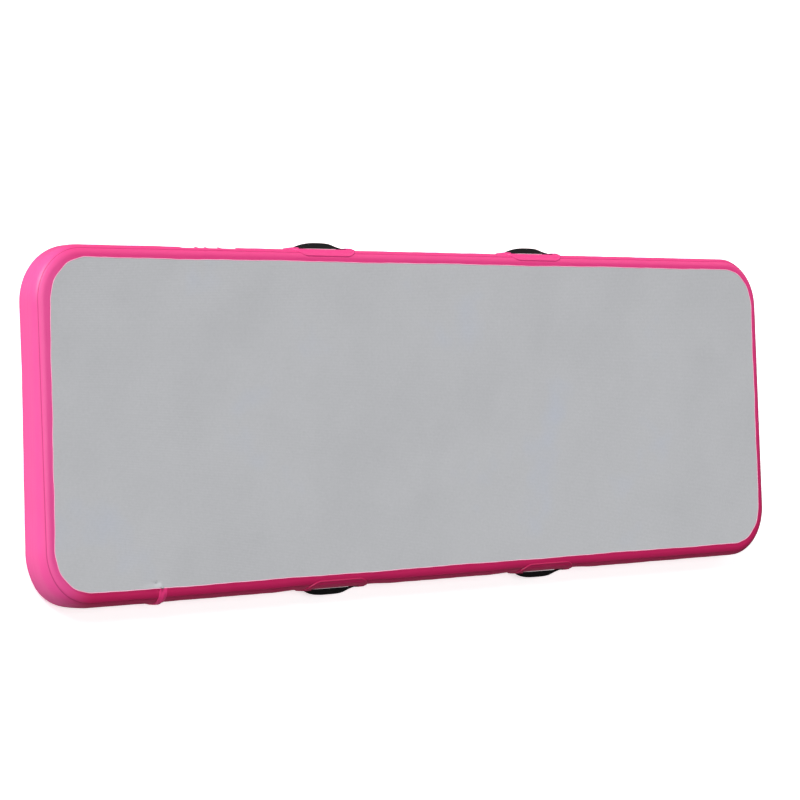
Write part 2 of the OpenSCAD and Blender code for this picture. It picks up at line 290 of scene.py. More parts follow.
def loops_body(
    name: str,
    rings: np.ndarray,
    material: bpy.types.Material,
    uv: np.ndarray | None = None,
) -> bpy.types.Object:
    """A closed body through matching closed rings of points, with a flat end on the first and last.

    The ends are closed by folding each end ring onto its own middle line, so that every face
    has four corners: ring point k meets point n - 1 - k.

    Args:
        name: Name of the piece.
        rings: Ring points, rings x points x 3, with an even number of points in a ring.
        material: The piece's finish.
        uv: A place on the cloth for each ring point.

    Returns:
        The new object.
    """
    count, n = rings.shape[:2]
    index = np.arange(count * n).reshape(count, n)
    sides = grid_faces(np.hstack([index, index[:, :1]]))
    half = n // 2
    first = np.stack([index[0, :half], index[0, ::-1][:half]], axis=0)
    last = np.stack([index[-1, ::-1][:half], index[-1, :half]], axis=0)
    quads = np.concatenate([sides, grid_faces(first), grid_faces(last)])
    flat_uv = None if uv is None else uv.reshape(-1, 2)
    piece = make_piece(name, rings.reshape(-1, 3), quads, material, flat_uv)
    sharpen(piece, 50.0)
    return piece


def cut_round_hole(piece: bpy.types.Object, centre: Vector, radius: float, depth: float) -> None:
    """Cuts a round hole along X through a piece and applies the cut.

    Args:
        piece: The piece to cut.
        centre: A point on the hole's axis.
        radius: Radius of the hole.
        depth: Length of the cutter.
    """
    turn = np.linspace(0.0, 2.0 * np.pi, 96, endpoint=False)
    ring = np.stack([np.zeros_like(turn), np.cos(turn) * radius, np.sin(turn) * radius], axis=1)
    ends = np.array([-depth / 2.0, depth / 2.0])
    rings = ring[None] + np.stack([ends, ends * 0, ends * 0], axis=1)[:, None]
    cutter = loops_body("cutter", rings + np.array(centre), piece.data.materials[0])
    cut = piece.modifiers.new("hole", "BOOLEAN")
    cut.operation = "DIFFERENCE"
    cut.solver = "EXACT"
    cut.object = cutter
    graph = bpy.context.evaluated_depsgraph_get()
    result = bpy.data.meshes.new_from_object(piece.evaluated_get(graph))
    piece.modifiers.clear()
    piece.data = result
    bpy.data.objects.remove(cutter)


# ---------- finishes ----------


def linear(colour: str) -> tuple[float, float, float, float]:
    """Turns an sRGB hex colour, such as "f0287a", into linear values with an alpha of 1.

    Args:
        colour: Six hex digits.

    Returns:
        Red, green, blue and alpha for a shader socket.
    """
    s = np.array([int(colour[k : k + 2], 16) / 255.0 for k in (0, 2, 4)])
    values = np.where(s <= 0.04045, s / 12.92, ((s + 0.055) / 1.055) ** 2.4)
    return (float(values[0]), float(values[1]), float(values[2]), 1.0)


def add_node(tree: bpy.types.NodeTree, kind: str, settings: dict, sockets: dict) -> bpy.types.Node:
    """Adds one node, with its settings, values and links.

    Args:
        tree: The material's node tree.
        kind: The node's type name.
        settings: Attribute names and values.
        sockets: Input names or numbers, each with a value or another node's output.

    Returns:
        The new node.
    """
    node = tree.nodes.new(kind)
    for key, value in settings.items():
        setattr(node, key, value)
    for key, value in sockets.items():
        if isinstance(value, bpy.types.NodeSocket):
            tree.links.new(value, node.inputs[key])
        else:
            node.inputs[key].default_value = value
    return node


def new_material(name: str) -> tuple[bpy.types.Material, bpy.types.NodeTree, bpy.types.Node]:
    """Makes a material with a bare Principled shader.

    Args:
        name: Name of the material.

    Returns:
        The material, its node tree and its shader node.
    """
    material = bpy.data.materials.new(name)
    material.use_nodes = True
    tree = material.node_tree
    return material, tree, tree.nodes["Principled BSDF"]


def colour_between(
    tree: bpy.types.NodeTree, share: bpy.types.NodeSocket, low: str, high: str, start: float, end: float
) -> bpy.types.NodeSocket:
    """Colour that runs from one hex colour to another as a value runs from start to end.

    Args:
        tree: The material's node tree.
        share: The value that picks the colour.
        low: Colour at or below start.
        high: Colour at or above end.
        start: Value where the change begins.
        end: Value where it ends.

    Returns:
        The colour output.
    """
    ramp = add_node(tree, "ShaderNodeValToRGB", {}, {"Fac": share})
    ramp.color_ramp.elements[0].position = start
    ramp.color_ramp.elements[0].color = linear(low)
    ramp.color_ramp.elements[1].position = end
    ramp.color_ramp.elements[1].color = linear(high)
    return ramp.outputs["Color"]


def own_place(tree: bpy.types.NodeTree) -> tuple[bpy.types.NodeSocket, bpy.types.NodeOutputs]:
    """The place on the object, as one vector and as its X, Y and Z."""
    place = add_node(tree, "ShaderNodeTexCoord", {}, {}).outputs["Object"]
    return place, add_node(tree, "ShaderNodeSeparateXYZ", {}, {0: place}).outputs


def mixed(
    tree: bpy.types.NodeTree, factor: object, first: object, second: object, blend: str = "MIX"
) -> bpy.types.NodeSocket:
    """Two colours mixed by a factor.

    Args:
        tree: The material's node tree.
        factor: Share of the second colour.
        first: First colour.
        second: Second colour.
        blend: Which of the Mix node's ways.

    Returns:
        The colour output.
    """
    settings = {"data_type": "RGBA", "blend_type": blend}
    node = add_node(tree, "ShaderNodeMix", settings, {"Factor": factor, "A": first, "B": second})
    return node.outputs[2]


def noise(
    tree: bpy.types.NodeTree, place: bpy.types.NodeSocket, size: float, detail: float
) -> bpy.types.NodeSocket:
    """Soft noise whose blotches are about `size` metres across."""
    sockets = {"Vector": place, "Scale": 1.0 / size, "Detail": detail, "Roughness": 0.55}
    return add_node(tree, "ShaderNodeTexNoise", {}, sockets).outputs["Fac"]


def maths(tree: bpy.types.NodeTree, operation: str, *values: object) -> bpy.types.NodeSocket:
    """One Math node's output."""
    sockets = dict(enumerate(values))
    return add_node(tree, "ShaderNodeMath", {"operation": operation}, sockets).outputs["Value"]


def thread_wave(tree: bpy.types.NodeTree, along: bpy.types.NodeSocket, pitch: float) -> bpy.types.NodeSocket:
    """A wave from 0 to 1 along one direction of a weave: half of one plus the sine.

    Args:
        tree: The material's node tree.
        along: The place in that direction, in metres.
        pitch: Distance from one thread to the next.

    Returns:
        The wave's output.
    """
    turn = maths(tree, "MULTIPLY", along, 2.0 * np.pi / pitch)
    wave = maths(tree, "SINE", turn)
    return maths(tree, "MULTIPLY_ADD", wave, 0.5, 0.5)


def bump(
    tree: bpy.types.NodeTree,
    height: bpy.types.NodeSocket,
    depth: float,
    below: bpy.types.NodeSocket | None = None,
) -> bpy.types.NodeSocket:
    """Bump from a height of 0 to 1.

    Args:
        tree: The material's node tree.
        height: The height's output.
        depth: What a height of 1 stands for, in metres.
        below: Another bump's output, for this one to lie on.

    Returns:
        The normal's output.
    """
    sockets = {"Height": height, "Distance": depth, "Strength": 1.0}
    if below is not None:
        sockets["Normal"] = below
    return add_node(tree, "ShaderNodeBump", {}, sockets).outputs["Normal"]


@dataclass(frozen=True)
class GripFabric:
    """PVC-coated polyester with a woven face pressed into it: matt, with a fine grid of knots.

    The eye sees an even grey with rows of small dots and faint cool and dusty patches.
    The dots are drawn 4.5 mm apart, about twice as coarse as the real weave, so that they show.
    """

    name: str
    colour: str
    dusty: str
    cool: str
    pitch: float = 4.5 * MM
    depth: float = 0.20 * MM
    roughness: float = 0.78

    def material(self) -> bpy.types.Material:
        """Builds the finish.

        Returns:
            The material.
        """
        material, tree, shader = new_material(self.name)
        place, axes = own_place(tree)
        rows = thread_wave(tree, axes["Y"], self.pitch)
        columns = thread_wave(tree, axes["X"], self.pitch * 0.8)
        knots = maths(tree, "MULTIPLY", rows, columns)
        blotch = noise(tree, place, 0.30, 3.0)
        grain = noise(tree, place, 9.0 * MM, 4.0)
        base = colour_between(tree, blotch, self.dusty, self.colour, 0.36, 0.58)
        cool = colour_between(tree, noise(tree, place, 0.30, 3.0), "000000", "ffffff", 0.62, 0.80)
        tinted = mixed(tree, cool, base, linear(self.cool))
        speck = maths(tree, "MULTIPLY_ADD", grain, 0.16, 0.92)
        dot = maths(tree, "MULTIPLY_ADD", knots, 0.08, -0.02)
        tone = maths(tree, "ADD", speck, dot)
        shade = mixed(tree, 1.0, tinted, tone, "MULTIPLY")
        tree.links.new(shade, shader.inputs["Base Color"])
        tree.links.new(bump(tree, knots, self.depth, bump(tree, grain, 0.15 * MM)), shader.inputs["Normal"])
        shader.inputs["Roughness"].default_value = self.roughness
        shader.inputs["IOR"].default_value = 1.47
        shader.inputs["Sheen Weight"].default_value = 0.08
        shader.inputs["Sheen Roughness"].default_value = 0.6
        return material


@dataclass(frozen=True)
class CoatedFabric:
    """Calendered PVC-coated polyester, the skin of the sidewall and its tapes.

    The film is satin: a soft highlight, a slight orange peel, and under it the scrim's
    threads, 1 mm apart, which only just show.  Handling leaves dull rubs.  The colour is painted
    light and shade: a shaded crimson on the -Y side, a lit lighter pink on the +Y side, and
    lighter still at the -X end, where the key light falls most.
    """

    name: str
    # painted light and shade: deep is the shaded -Y side, colour the lit +Y side, painted_light_end the -X
    # end where the key light falls most
    deep: str = "a6134b"
    colour: str = "ce3675"
    painted_light_end: str = "d24888"
    roughness: float = 0.42
    peel: float = 0.10 * MM
    scrim: float = 1.0 * MM

    def material(self) -> bpy.types.Material:
        """Builds the finish.

        Returns:
            The material.
        """
        material, tree, shader = new_material(self.name)
        place, axes = own_place(tree)
        level = maths(tree, "ADD", axes["X"], axes["Y"])
        warp = thread_wave(tree, level, self.scrim * 1.41)
        weft = thread_wave(tree, axes["Z"], self.scrim)
        threads = maths(tree, "MULTIPLY", warp, weft)
        cloud = noise(tree, place, 0.12, 3.0)
        rub = noise(tree, place, 0.035, 5.0)
        # painted light and shade: the colour runs across the mat from the shaded -Y side to the lit +Y side
        across = maths(tree, "ADD", axes["Y"], maths(tree, "MULTIPLY_ADD", cloud, 0.16, 0.42))
        side = colour_between(tree, across, self.deep, self.colour, 0.06, 0.92)
        # painted light: lighter towards the -X end, where the key light falls most
        end = add_node(
            tree,
            "ShaderNodeMapRange",
            {"interpolation_type": "SMOOTHSTEP"},
            {"Value": axes["X"], "From Min": -1.34, "From Max": -1.47},
        )
        base = mixed(tree, end.outputs["Result"], side, linear(self.painted_light_end))
        tree.links.new(base, shader.inputs["Base Color"])
        dull = maths(tree, "MULTIPLY_ADD", rub, 0.22, self.roughness - 0.11)
        tree.links.new(dull, shader.inputs["Roughness"])
        peel = bump(tree, noise(tree, place, 7.0 * MM, 2.0), self.peel)
        tree.links.new(bump(tree, threads, 0.02 * MM, peel), shader.inputs["Normal"])
        shader.inputs["IOR"].default_value = 1.42
        return material


@dataclass(frozen=True)
class WovenWebbing:
    """Flat-woven polypropylene webbing: black, with ribs across it and two selvedges.

    The ribs follow the strap, so they read its own map: u along the strap and v across it.
    """

    name: str
    colour: str
    worn: str
    rib: float = 1.6 * MM
    depth: float = 0.35 * MM

    def material(self) -> bpy.types.Material:
        """Builds the finish.

        Returns:
            The material.
        """
        material, tree, shader = new_material(self.name)
        cloth = add_node(tree, "ShaderNodeUVMap", {"uv_map": "cloth"}, {}).outputs["UV"]
        split = add_node(tree, "ShaderNodeSeparateXYZ", {}, {0: cloth})
        zigzag = maths(tree, "PINGPONG", split.outputs["Y"], 3.2 * MM)
        slanted = maths(tree, "ADD", split.outputs["X"], zigzag)
        ribs = thread_wave(tree, slanted, self.rib)
        ends = thread_wave(tree, split.outputs["Y"], self.rib)
        weave = maths(tree, "MULTIPLY", ribs, maths(tree, "MULTIPLY_ADD", ends, 0.4, 0.6))
        base = colour_between(tree, weave, self.colour, self.worn, 0.35, 0.95)
        tree.links.new(base, shader.inputs["Base Color"])
        tree.links.new(bump(tree, weave, self.depth), shader.inputs["Normal"])
        shader.inputs["Roughness"].default_value = 0.72
        shader.inputs["IOR"].default_value = 1.49
        shader.inputs["Specular IOR Level"].default_value = 0.3
        return material


@dataclass(frozen=True)
class PlainCloth:
    """Polyester threads or bare woven cloth: fully matt, with the threads as fine cross bumps."""

    name: str
    colour: str
    shade: str
    pitch: float = 1.2 * MM

    def material(self) -> bpy.types.Material:
        """Builds the finish.

        Returns:
            The material.
        """
        material, tree, shader = new_material(self.name)
        place, axes = own_place(tree)
        weave = maths(
            tree,
            "MULTIPLY",
            thread_wave(tree, axes["X"], self.pitch),
            thread_wave(tree, axes["Y"], self.pitch),
        )
        base = colour_between(tree, noise(tree, place, 0.02, 3.0), self.shade, self.colour, 0.35, 0.65)
        tree.links.new(base, shader.inputs["Base Color"])
        tree.links.new(bump(tree, weave, 0.15 * MM), shader.inputs["Normal"])
        shader.inputs["Roughness"].default_value = 0.85
        return material


@dataclass(frozen=True)
class Moulded:
    """Injection-moulded nylon, ABS or rubber: an even colour with a fine spark-eroded grain."""

    name: str
    colour: str
    dust: str
    roughness: float = 0.45
    grain: float = 0.5 * MM
    depth: float = 0.03 * MM

    def material(self) -> bpy.types.Material:
        """Builds the finish.

        Returns:
            The material.
        """
        material, tree, shader = new_material(self.name)
        place, _ = own_place(tree)
        base = colour_between(tree, noise(tree, place, 8.0 * MM, 4.0), self.colour, self.dust, 0.45, 0.80)
        tree.links.new(base, shader.inputs["Base Color"])
        tree.links.new(bump(tree, noise(tree, place, self.grain, 2.0), self.depth), shader.inputs["Normal"])
        shader.inputs["Roughness"].default_value = self.roughness
        return material


@dataclass(frozen=True)
class DrawnWire:
    """Stainless spring wire, drawn: bright metal with fine lines along it."""

    name: str
    colour: str

    def material(self) -> bpy.types.Material:
        """Builds the finish.

        Returns:
            The material.
        """
        material, tree, shader = new_material(self.name)
        place, _ = own_place(tree)
        lines = noise(tree, place, 0.3 * MM, 3.0)
        rough = maths(tree, "MULTIPLY_ADD", lines, 0.2, 0.2)
        tree.links.new(rough, shader.inputs["Roughness"])
        tree.links.new(bump(tree, lines, 0.01 * MM), shader.inputs["Normal"])
        shader.inputs["Base Color"].default_value = linear(self.colour)
        shader.inputs["Metallic"].default_value = 1.0
        return material


class Finish(Enum):
    """The object's finishes, each named for the real material and how it was made."""

    GRIP = GripFabric("pressed_weave_pvc_grip", "a8a9ac", "a5a6a9", "a5a9b3")
    UNDERSIDE = GripFabric(
        "smooth_pvc_underside", "a6aaad", "9da1a5", "a3a9b0", depth=0.08 * MM, roughness=0.6
    )
    # each coated fabric's three colours are painted shade on the -Y side and painted light on the +Y side and
    # at the -X end
    SIDEWALL = CoatedFabric("calendered_pvc_sidewall")
    TAPE = CoatedFabric("calendered_pvc_rim_tape", "a9154d", "d03878", "d44a8a", roughness=0.40)
    PATCH = CoatedFabric("welded_pvc_patch", "a9154d", "d03878", "d44a8a", roughness=0.38)
    # the joint's pinks are lighter than the wall's: a painted highlight on the ridge of the overlap
    JOINT = CoatedFabric("pvc_joint_painted_highlight", "cc2f6c", "d4427c", "d4427c", roughness=0.36)
    GLUE = Moulded("cured_pvc_glue", "e9a9c3", "e9a6c2", roughness=0.35, depth=0.05 * MM)
    # a bead darker than the wall, which draws a dark line along each tape's edge
    SEAM = CoatedFabric("dark_tape_edge_bead", "9c1446", "b02860", "b43670", roughness=0.5)
    PRINT = Moulded("screen_printed_white_ink", "f4f2f2", "ece9ea", roughness=0.5)
    WEBBING = WovenWebbing("woven_polypropylene_webbing", "030202", "0b0809")
    THREAD = PlainCloth("bonded_polyester_thread", "191617", "100e0f", pitch=0.5 * MM)
    CLOTH = PlainCloth("coated_drop_stitch_cloth", "9fa2a5", "94979a")
    YARN = PlainCloth("polyester_drop_yarn", "ecece8", "dededa")
    VALVE = Moulded("moulded_glass_filled_nylon", "18181b", "242428")
    STEM = Moulded("moulded_acetal", "dcdcde", "cfcfd2", roughness=0.35)
    SEAL = Moulded("moulded_epdm_rubber", "141416", "1e1e20", roughness=0.6)
    TETHER = Moulded("moulded_tpu_tether", "1f1f22", "2a2a2d", roughness=0.5)
    WIRE = DrawnWire("drawn_stainless_wire", "c3c6ca")

    def made(self) -> bpy.types.Material:
        """The finish's material, made once."""
        return bpy.data.materials.get(self.value.name) or self.value.material()


# ---------- the mat's outline and section ----------


@dataclass(frozen=True)
class WallSection:
    """Section of the sidewall: a flat lap, a shoulder, the wall, a shoulder and a flat lap.

    Attributes:
        radius: Shoulder radius of the sidewall's outer face.
        lap: Length of each flat lap.
        height: Height of the straight wall.
        top: Height of the upper lap above the floor.
        bulge: How far the air pushes the wall out at mid height.
    """

    radius: float
    lap: float
    height: float
    top: float
    bulge: float = 0.3 * MM

    @property
    def arc(self) -> float:
        """Length round one shoulder."""
        return self.radius * np.pi / 2.0

    @property
    def length(self) -> float:
        """Length along the whole section."""
        return 2.0 * self.lap + 2.0 * self.arc + self.height

    def at(self, t: np.ndarray) -> tuple[np.ndarray, np.ndarray, np.ndarray, np.ndarray]:
        """Points of the section.

        The direction turns by the arc length over the radius on each shoulder, so the offset
        is a sum of sines and cosines of the two turns and of the straight lengths.

        Args:
            t: Distances along the section from the edge of the top face.

        Returns:
            Offset out from the wall, height, and the outward normal's two parts.
        """
        start = self.lap
        first = np.clip((t - start) / self.radius, 0.0, np.pi / 2.0)
        down = np.clip(t - start - self.arc, 0.0, self.height)
        second = np.clip((t - start - self.arc - self.height) / self.radius, 0.0, np.pi / 2.0)
        lead = np.minimum(t, self.lap) - self.lap
        tail = np.clip(t - self.length + self.lap, 0.0, self.lap)
        out = lead + self.radius * (np.sin(first) - 1.0) - self.radius * (1.0 - np.cos(second)) - tail
        z = self.top - self.radius * (1.0 - np.cos(first)) - down - self.radius * np.sin(second)
        turn = first + second
        return out, z, np.sin(turn), np.cos(turn)


@dataclass(frozen=True)
class RimPath:
    """The mat's outline at the wall, clockwise seen from above, from the -X end of the +Y side."""

    half_length: float
    half_width: float
    corner_r: float
    joint_x: float
    step: float = 10.0 * MM
    corner_steps: int = 26

    def samples(self) -> tuple[np.ndarray, np.ndarray]:
        """Evenly spaced points of the outline and their outward normals.

        Straight runs are linear steps, and a corner is its centre plus the radius times the
        normal, which turns evenly through a right angle.

        Returns:
            Points and normals, each rows x 2.
        """
        run_x = self.half_length - self.corner_r
        run_y = self.half_width - self.corner_r
        corners = np.array([[run_x, run_y], [run_x, -run_y], [-run_x, -run_y], [-run_x, run_y]])
        points, normals = [], []
        for side in range(4):
            start, end = corners[side - 1], corners[side]
            facing = np.pi / 2.0 * (1 - side)
            normal = np.array([np.cos(facing), np.sin(facing)])
            count = max(2, round(np.linalg.norm(end - start) / self.step))
            at_joint = (self.joint_x - start[0]) / (end[0] - start[0] + 1e-9)
            gain = 7.0 if side == 2 else 0.0
            share = crowded(0.0, 1.0, count + 1, at_joint, 0.02, gain)[:-1, None]
            points.append(start + (end - start) * share + normal * self.corner_r)
            normals.append(np.tile(normal, (count, 1)))
            turn = facing - np.linspace(0.0, np.pi / 2.0, self.corner_steps, endpoint=False)
            way = np.stack([np.cos(turn), np.sin(turn)], axis=1)
            points.append(end + way * self.corner_r)
            normals.append(way)
        return np.concatenate(points), np.concatenate(normals)


def rounded_rows(
    half_x: float, half_y: float, corner: float, middle: np.ndarray, shares: np.ndarray
) -> tuple[np.ndarray, np.ndarray]:
    """A grid over a rectangle with round corners.

    Rows are spaced evenly in the turn of the corner arc near the ends.  A row's half length is
    the rectangle's less corner minus the root of corner^2 less the square of how far the row
    is into the corner.

    Args:
        half_x: Half the length.
        half_y: Half the width.
        corner: Corner radius.
        middle: Rows across the straight part, as shares of its half width from -1 to 1.
        shares: Columns, as shares of a row's half length from -1 to 1.

    Returns:
        x and y of the grid, rows x columns.
    """
    into = max(8, len(middle) // 3)
    turn = np.linspace(0.0, np.pi / 2.0, into, endpoint=False)
    rise = corner * np.cos(turn)
    flat = half_y - corner
    y = np.concatenate([-(flat + rise), middle * flat, (flat + rise)[::-1]])
    deep = np.clip(np.abs(y) - flat, 0.0, corner)
    reach = half_x - corner + np.sqrt(corner**2 - deep**2)
    x = shares[None] * reach[:, None]
    return x, np.repeat(y[:, None], len(shares), axis=1)


@dataclass(frozen=True)
class Joint:
    """The overlap joint of the sidewall strip, on the -Y side."""

    x: float
    half_width: float
    swell: float = 1.8 * MM
    fade: float = 0.13

    def swelling(self, x: np.ndarray, facing: np.ndarray) -> np.ndarray:
        """How far the sidewall stands out beside the joint.

        Args:
            x: Places along the mat.
            facing: The outline normal's y there; only the -Y side swells.

        Returns:
            The swell, decaying exponentially to the -X side of the joint and gone past it.
        """
        decay = np.exp(-np.clip(self.x - x, 0.0, None) / self.fade)
        here = 1.0 - smooth(x, self.x, self.x + 0.4 * self.half_width)
        return self.swell * decay * here * smooth(-facing, 0.5, 0.9)


@dataclass
class Mat:
    """The inflated body: face layers, sidewall, rim tapes, glue lines, joint and print.

    Attributes:
        wall_ripple: Unevenness of the sidewall.
        face_ripple: Unevenness of the top face.
        tape_turn: How far round its shoulder a rim tape reaches, in degrees.
        slack: How far the air pushes out the slack wall of the -Y side.
        puff: The most that it pushes out the -X end.
        pucker_lag: How far the pinch in the grip layer lies to the -X side of the joint.
        pucker_inset: How far the pinch lies in from the layer's edge.
        print_height: Height of the printed bars.
        print_slant: How far a bar leans, as a share of its height.
        print_film: The ink's inner and outer face above the wall, proud enough to render.
    """

    BODY = "mat"

    wall_ripple: Ripple = Ripple(0.45 * MM, 0.21)
    face_ripple: Ripple = Ripple(0.40 * MM, 0.47, waves=7, shift=0.8)
    tape_turn: float = 37.0
    slack: float = 3.2 * MM
    puff: float = 14.0 * MM
    pucker_lag: float = 24.0 * MM
    pucker_inset: float = 15.0 * MM
    print_height: float = 70.0 * MM
    print_slant: float = 0.22
    print_film: tuple[float, float] = (0.15 * MM, 0.45 * MM)

    def __post_init__(self) -> None:
        """Reads the mat's sizes from the frame."""
        self.wall_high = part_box("outer_sidewall")[1]
        self.grip_low, self.grip_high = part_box("top_grip_layer")
        self.cloth_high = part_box("top_drop_stitch_cloth")[1]
        self.skin_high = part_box("bottom_skin_layer")[1]
        self.ply = self.grip_high.z - self.grip_low.z
        radius = self.wall_high.y - self.cloth_high.y
        lap = self.cloth_high.y - self.grip_high.y
        height = self.grip_low.z - self.skin_high.z - 2.0 * radius
        self.section = WallSection(radius, lap, height, self.grip_low.z)
        self.tape_end = lap + self.section.arc * self.tape_turn / 90.0
        self.grip_corner = CORNER_R - radius - lap
        strap_low, strap_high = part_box("sidewall_joint_strap")
        self.joint = Joint((strap_low.x + strap_high.x) / 2.0, (strap_high.x - strap_low.x) / 2.0)
        self.path = RimPath(self.wall_high.x, self.wall_high.y, CORNER_R, self.joint.x)
        self.mid_z = (self.grip_high.z + self.skin_high.z - self.ply) / 2.0
        patch_low, patch_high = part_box("handle_2_backing_patch")
        self.handle_x = (patch_low.x + patch_high.x) / 2.0
        gasket_low, gasket_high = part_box("valve_gasket")
        self.valve_hole = (gasket_high.y - gasket_low.y) / 2.0 - GASKET_LAP
        self.pucker_x = self.joint.x - self.pucker_lag
        self.pucker_y = -(self.grip_high.y - self.pucker_inset)

    def wander(self, xy: np.ndarray) -> np.ndarray:
        """Sideways wander of the hand-cut edge between the grip layer and the tape.

        Slow sines of the position along each side, a layer laid a little askew at the -X
        end, and in a corner three shallow facets, a cosine of twelve times the angle.

        Args:
            xy: Positions on the last axis.

        Returns:
            The displacement in x and y.
        """
        x, y = xy[..., 0], xy[..., 1]
        dx = 0.9 * MM * (np.sin(y * 23.0 + 0.4) + 0.6 * np.sin(y * 61.0))
        dx = dx + (3.0 * MM + 0.018 * y) * smooth(-x, 0.0, 1.3)
        dy = 0.8 * MM * (np.sin(x * 9.0 + 1.1) + 0.6 * np.sin(x * 27.0) + 0.3 * np.sin(x * 88.0))
        cx = self.grip_high.x - self.grip_corner
        cy = self.grip_high.y - self.grip_corner
        rx = np.clip(np.abs(x) - cx, 0.0, None) * np.sign(x)
        ry = np.clip(np.abs(y) - cy, 0.0, None) * np.sign(y)
        angle = np.arctan2(np.abs(ry), np.abs(rx) + 1e-9)
        facet = 0.9 * MM * (np.cos(12.0 * angle) - 1.0) * np.where((rx != 0) & (ry != 0), 1.0, 0.0)
        away = np.stack([rx, ry], axis=-1) / (np.hypot(rx, ry)[..., None] + 1e-9)
        return np.stack([dx, dy], axis=-1) + away * facet[..., None]

    def inset_depth(self, xy: np.ndarray) -> np.ndarray:
        """Distance in from the edge of the grip layer, by the rule for a rounded rectangle.

        Args:
            xy: Positions on the last axis.

        Returns:
            The distances, negative outside the edge.
        """
        qx = np.abs(xy[..., 0]) - (self.grip_high.x - self.grip_corner)
        qy = np.abs(xy[..., 1]) - (self.grip_high.y - self.grip_corner)
        outside = np.hypot(np.clip(qx, 0.0, None), np.clip(qy, 0.0, None))
        return self.grip_corner - outside - np.minimum(np.maximum(qx, qy), 0.0)

    def pucker(self, x: np.ndarray, y: np.ndarray) -> np.ndarray:
        """Height of the pinch in the grip layer beside the sidewall joint.

        A dent, a sharp ridge on its outer side and a soft hill that runs along the edge.

        Args:
            x: Places along the mat.
            y: Places across it.

        Returns:
            The rise.
        """
        dent = 2.2 * MM * hill(x, self.pucker_x, 0.012) * hill(y, self.pucker_y, 0.0042)
        ridge = 6.0 * MM * hill(x, self.pucker_x + 0.013, 0.007) * hill(y, self.pucker_y - 0.014, 0.010)
        swell = 1.6 * MM * hill(x, self.pucker_x - 0.018, 0.020) * hill(y, self.pucker_y - 0.012, 0.009)
        return ridge + swell - dent

    def quiet(self, x: np.ndarray, facing: np.ndarray) -> np.ndarray:
        """0 beside a handle, where its patch holds the wall flat, and 1 away from one."""
        away = np.abs(np.abs(x) - self.handle_x)
        return 1.0 - (1.0 - smooth(away, 0.14, 0.24)) * smooth(np.abs(facing), 0.5, 0.9)

    def calm_valve(self, xy: np.ndarray, facing: np.ndarray) -> np.ndarray:
        """0 round the valve, where the flange holds the wall flat, and 1 away from it."""
        return 1.0 - (1.0 - smooth(np.abs(xy[..., 1]), 0.05, 0.12)) * smooth(facing, 0.5, 0.9)

    def wall(self, base: np.ndarray, normal: np.ndarray, t: np.ndarray, offset: np.ndarray) -> np.ndarray:
        """Points on or above the inflated sidewall.

        The section is carried along the outline; the air's bulge, a ripple, the slack of the
        -Y side, the puffed -X end and the swell beside the joint push each point out along the
        section's normal, and fade to nothing on the laps.  Low down, the floor presses them flat.

        Args:
            base: Outline points, rows x 2.
            normal: Outline normals, rows x 2.
            t: Distances along the section, columns, or rows x columns.
            offset: Distance above the sidewall's outer face, of the shape of t.

        Returns:
            Points, rows x columns x 3.
        """
        t = np.broadcast_to(t, (len(base), t.shape[-1]))
        out, z, n_out, n_z = self.section.at(t)
        along, across = base[:, None, 0], base[:, None, 1]
        ahead, facing = normal[:, None, 0], normal[:, None, 1]
        flat = np.stack([along + ahead * out, across + facing * out, z], axis=-1)
        share = (t - self.section.lap) / (self.section.length - 2.0 * self.section.lap)
        fade = np.sin(np.pi * np.clip(share, 0.0, 1.0)) ** 2
        still = self.quiet(along, facing) * self.calm_valve(base[:, None], ahead)
        push = (self.section.bulge * fade + self.wall_ripple.at(flat) * np.sqrt(fade)) * still
        slack = self.slack * smooth(-facing, 0.2, 0.9)
        puffed = np.clip(self.puff / 4.0 - 0.024 * across, 0.0, self.puff) * smooth(-ahead, 0.1, 0.8)
        push = push + (slack + puffed) * still * np.sqrt(fade)
        push = push + self.joint.swelling(along, facing) * np.sqrt(fade)
        room = (z - self.ply) / np.maximum(-n_z, 0.05)
        push = np.where(n_z < 0.0, np.minimum(push, room), push)
        rise = push + offset
        lift = self.pucker(flat[..., 0], flat[..., 1]) * (n_z > 0.0)
        return flat + np.stack([ahead * n_out * rise, facing * n_out * rise, n_z * rise + lift], axis=-1)

    def face_points(self, z: float, lively: float) -> np.ndarray:
        """A grid over the grip layer's outline at height z, with its wandering edge.

        Args:
            z: Height of the face.
            lively: Share of the ripple and the pucker that the face takes.

        Returns:
            Points, rows x columns x 3.
        """
        shares = crowded(-1.0, 1.0, 290, self.pucker_x / self.grip_high.x, 0.02, 9.0)
        middle = crowded(-1.0, 1.0, 80, -1.0, 0.05, 3.0)
        x, y = rounded_rows(self.grip_high.x, self.grip_high.y, self.grip_corner, middle, shares)
        xy = np.stack([x, y], axis=-1)
        depth = self.inset_depth(xy)
        xy = xy + self.wander(xy) * (1.0 - smooth(depth, 0.0, 0.03))[..., None]
        flat = np.concatenate([xy, np.full(x.shape + (1,), z)], axis=-1)
        rise = self.face_ripple.at(flat) * smooth(depth, 0.0, 0.05) + self.pucker(xy[..., 0], xy[..., 1])
        flat[..., 2] += rise * lively
        return flat

    def face_layer(
        self, name: str, node: str, low: float, high: float, lively: float, finish: Finish
    ) -> None:
        """Makes the top or bottom face layer as one closed sheet.

        Args:
            name: Name of the piece.
            node: The CAD node that it stands for.
            low: Height of its lower face.
            high: Height of its upper face.
            lively: Share of the unevenness it takes.
            finish: Its finish.
        """
        outer = self.face_points(high, lively)
        inner = self.face_points(low, lively)
        piece = shell(name, outer, inner, finish.made())
        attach(piece, self.BODY)
        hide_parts(node)

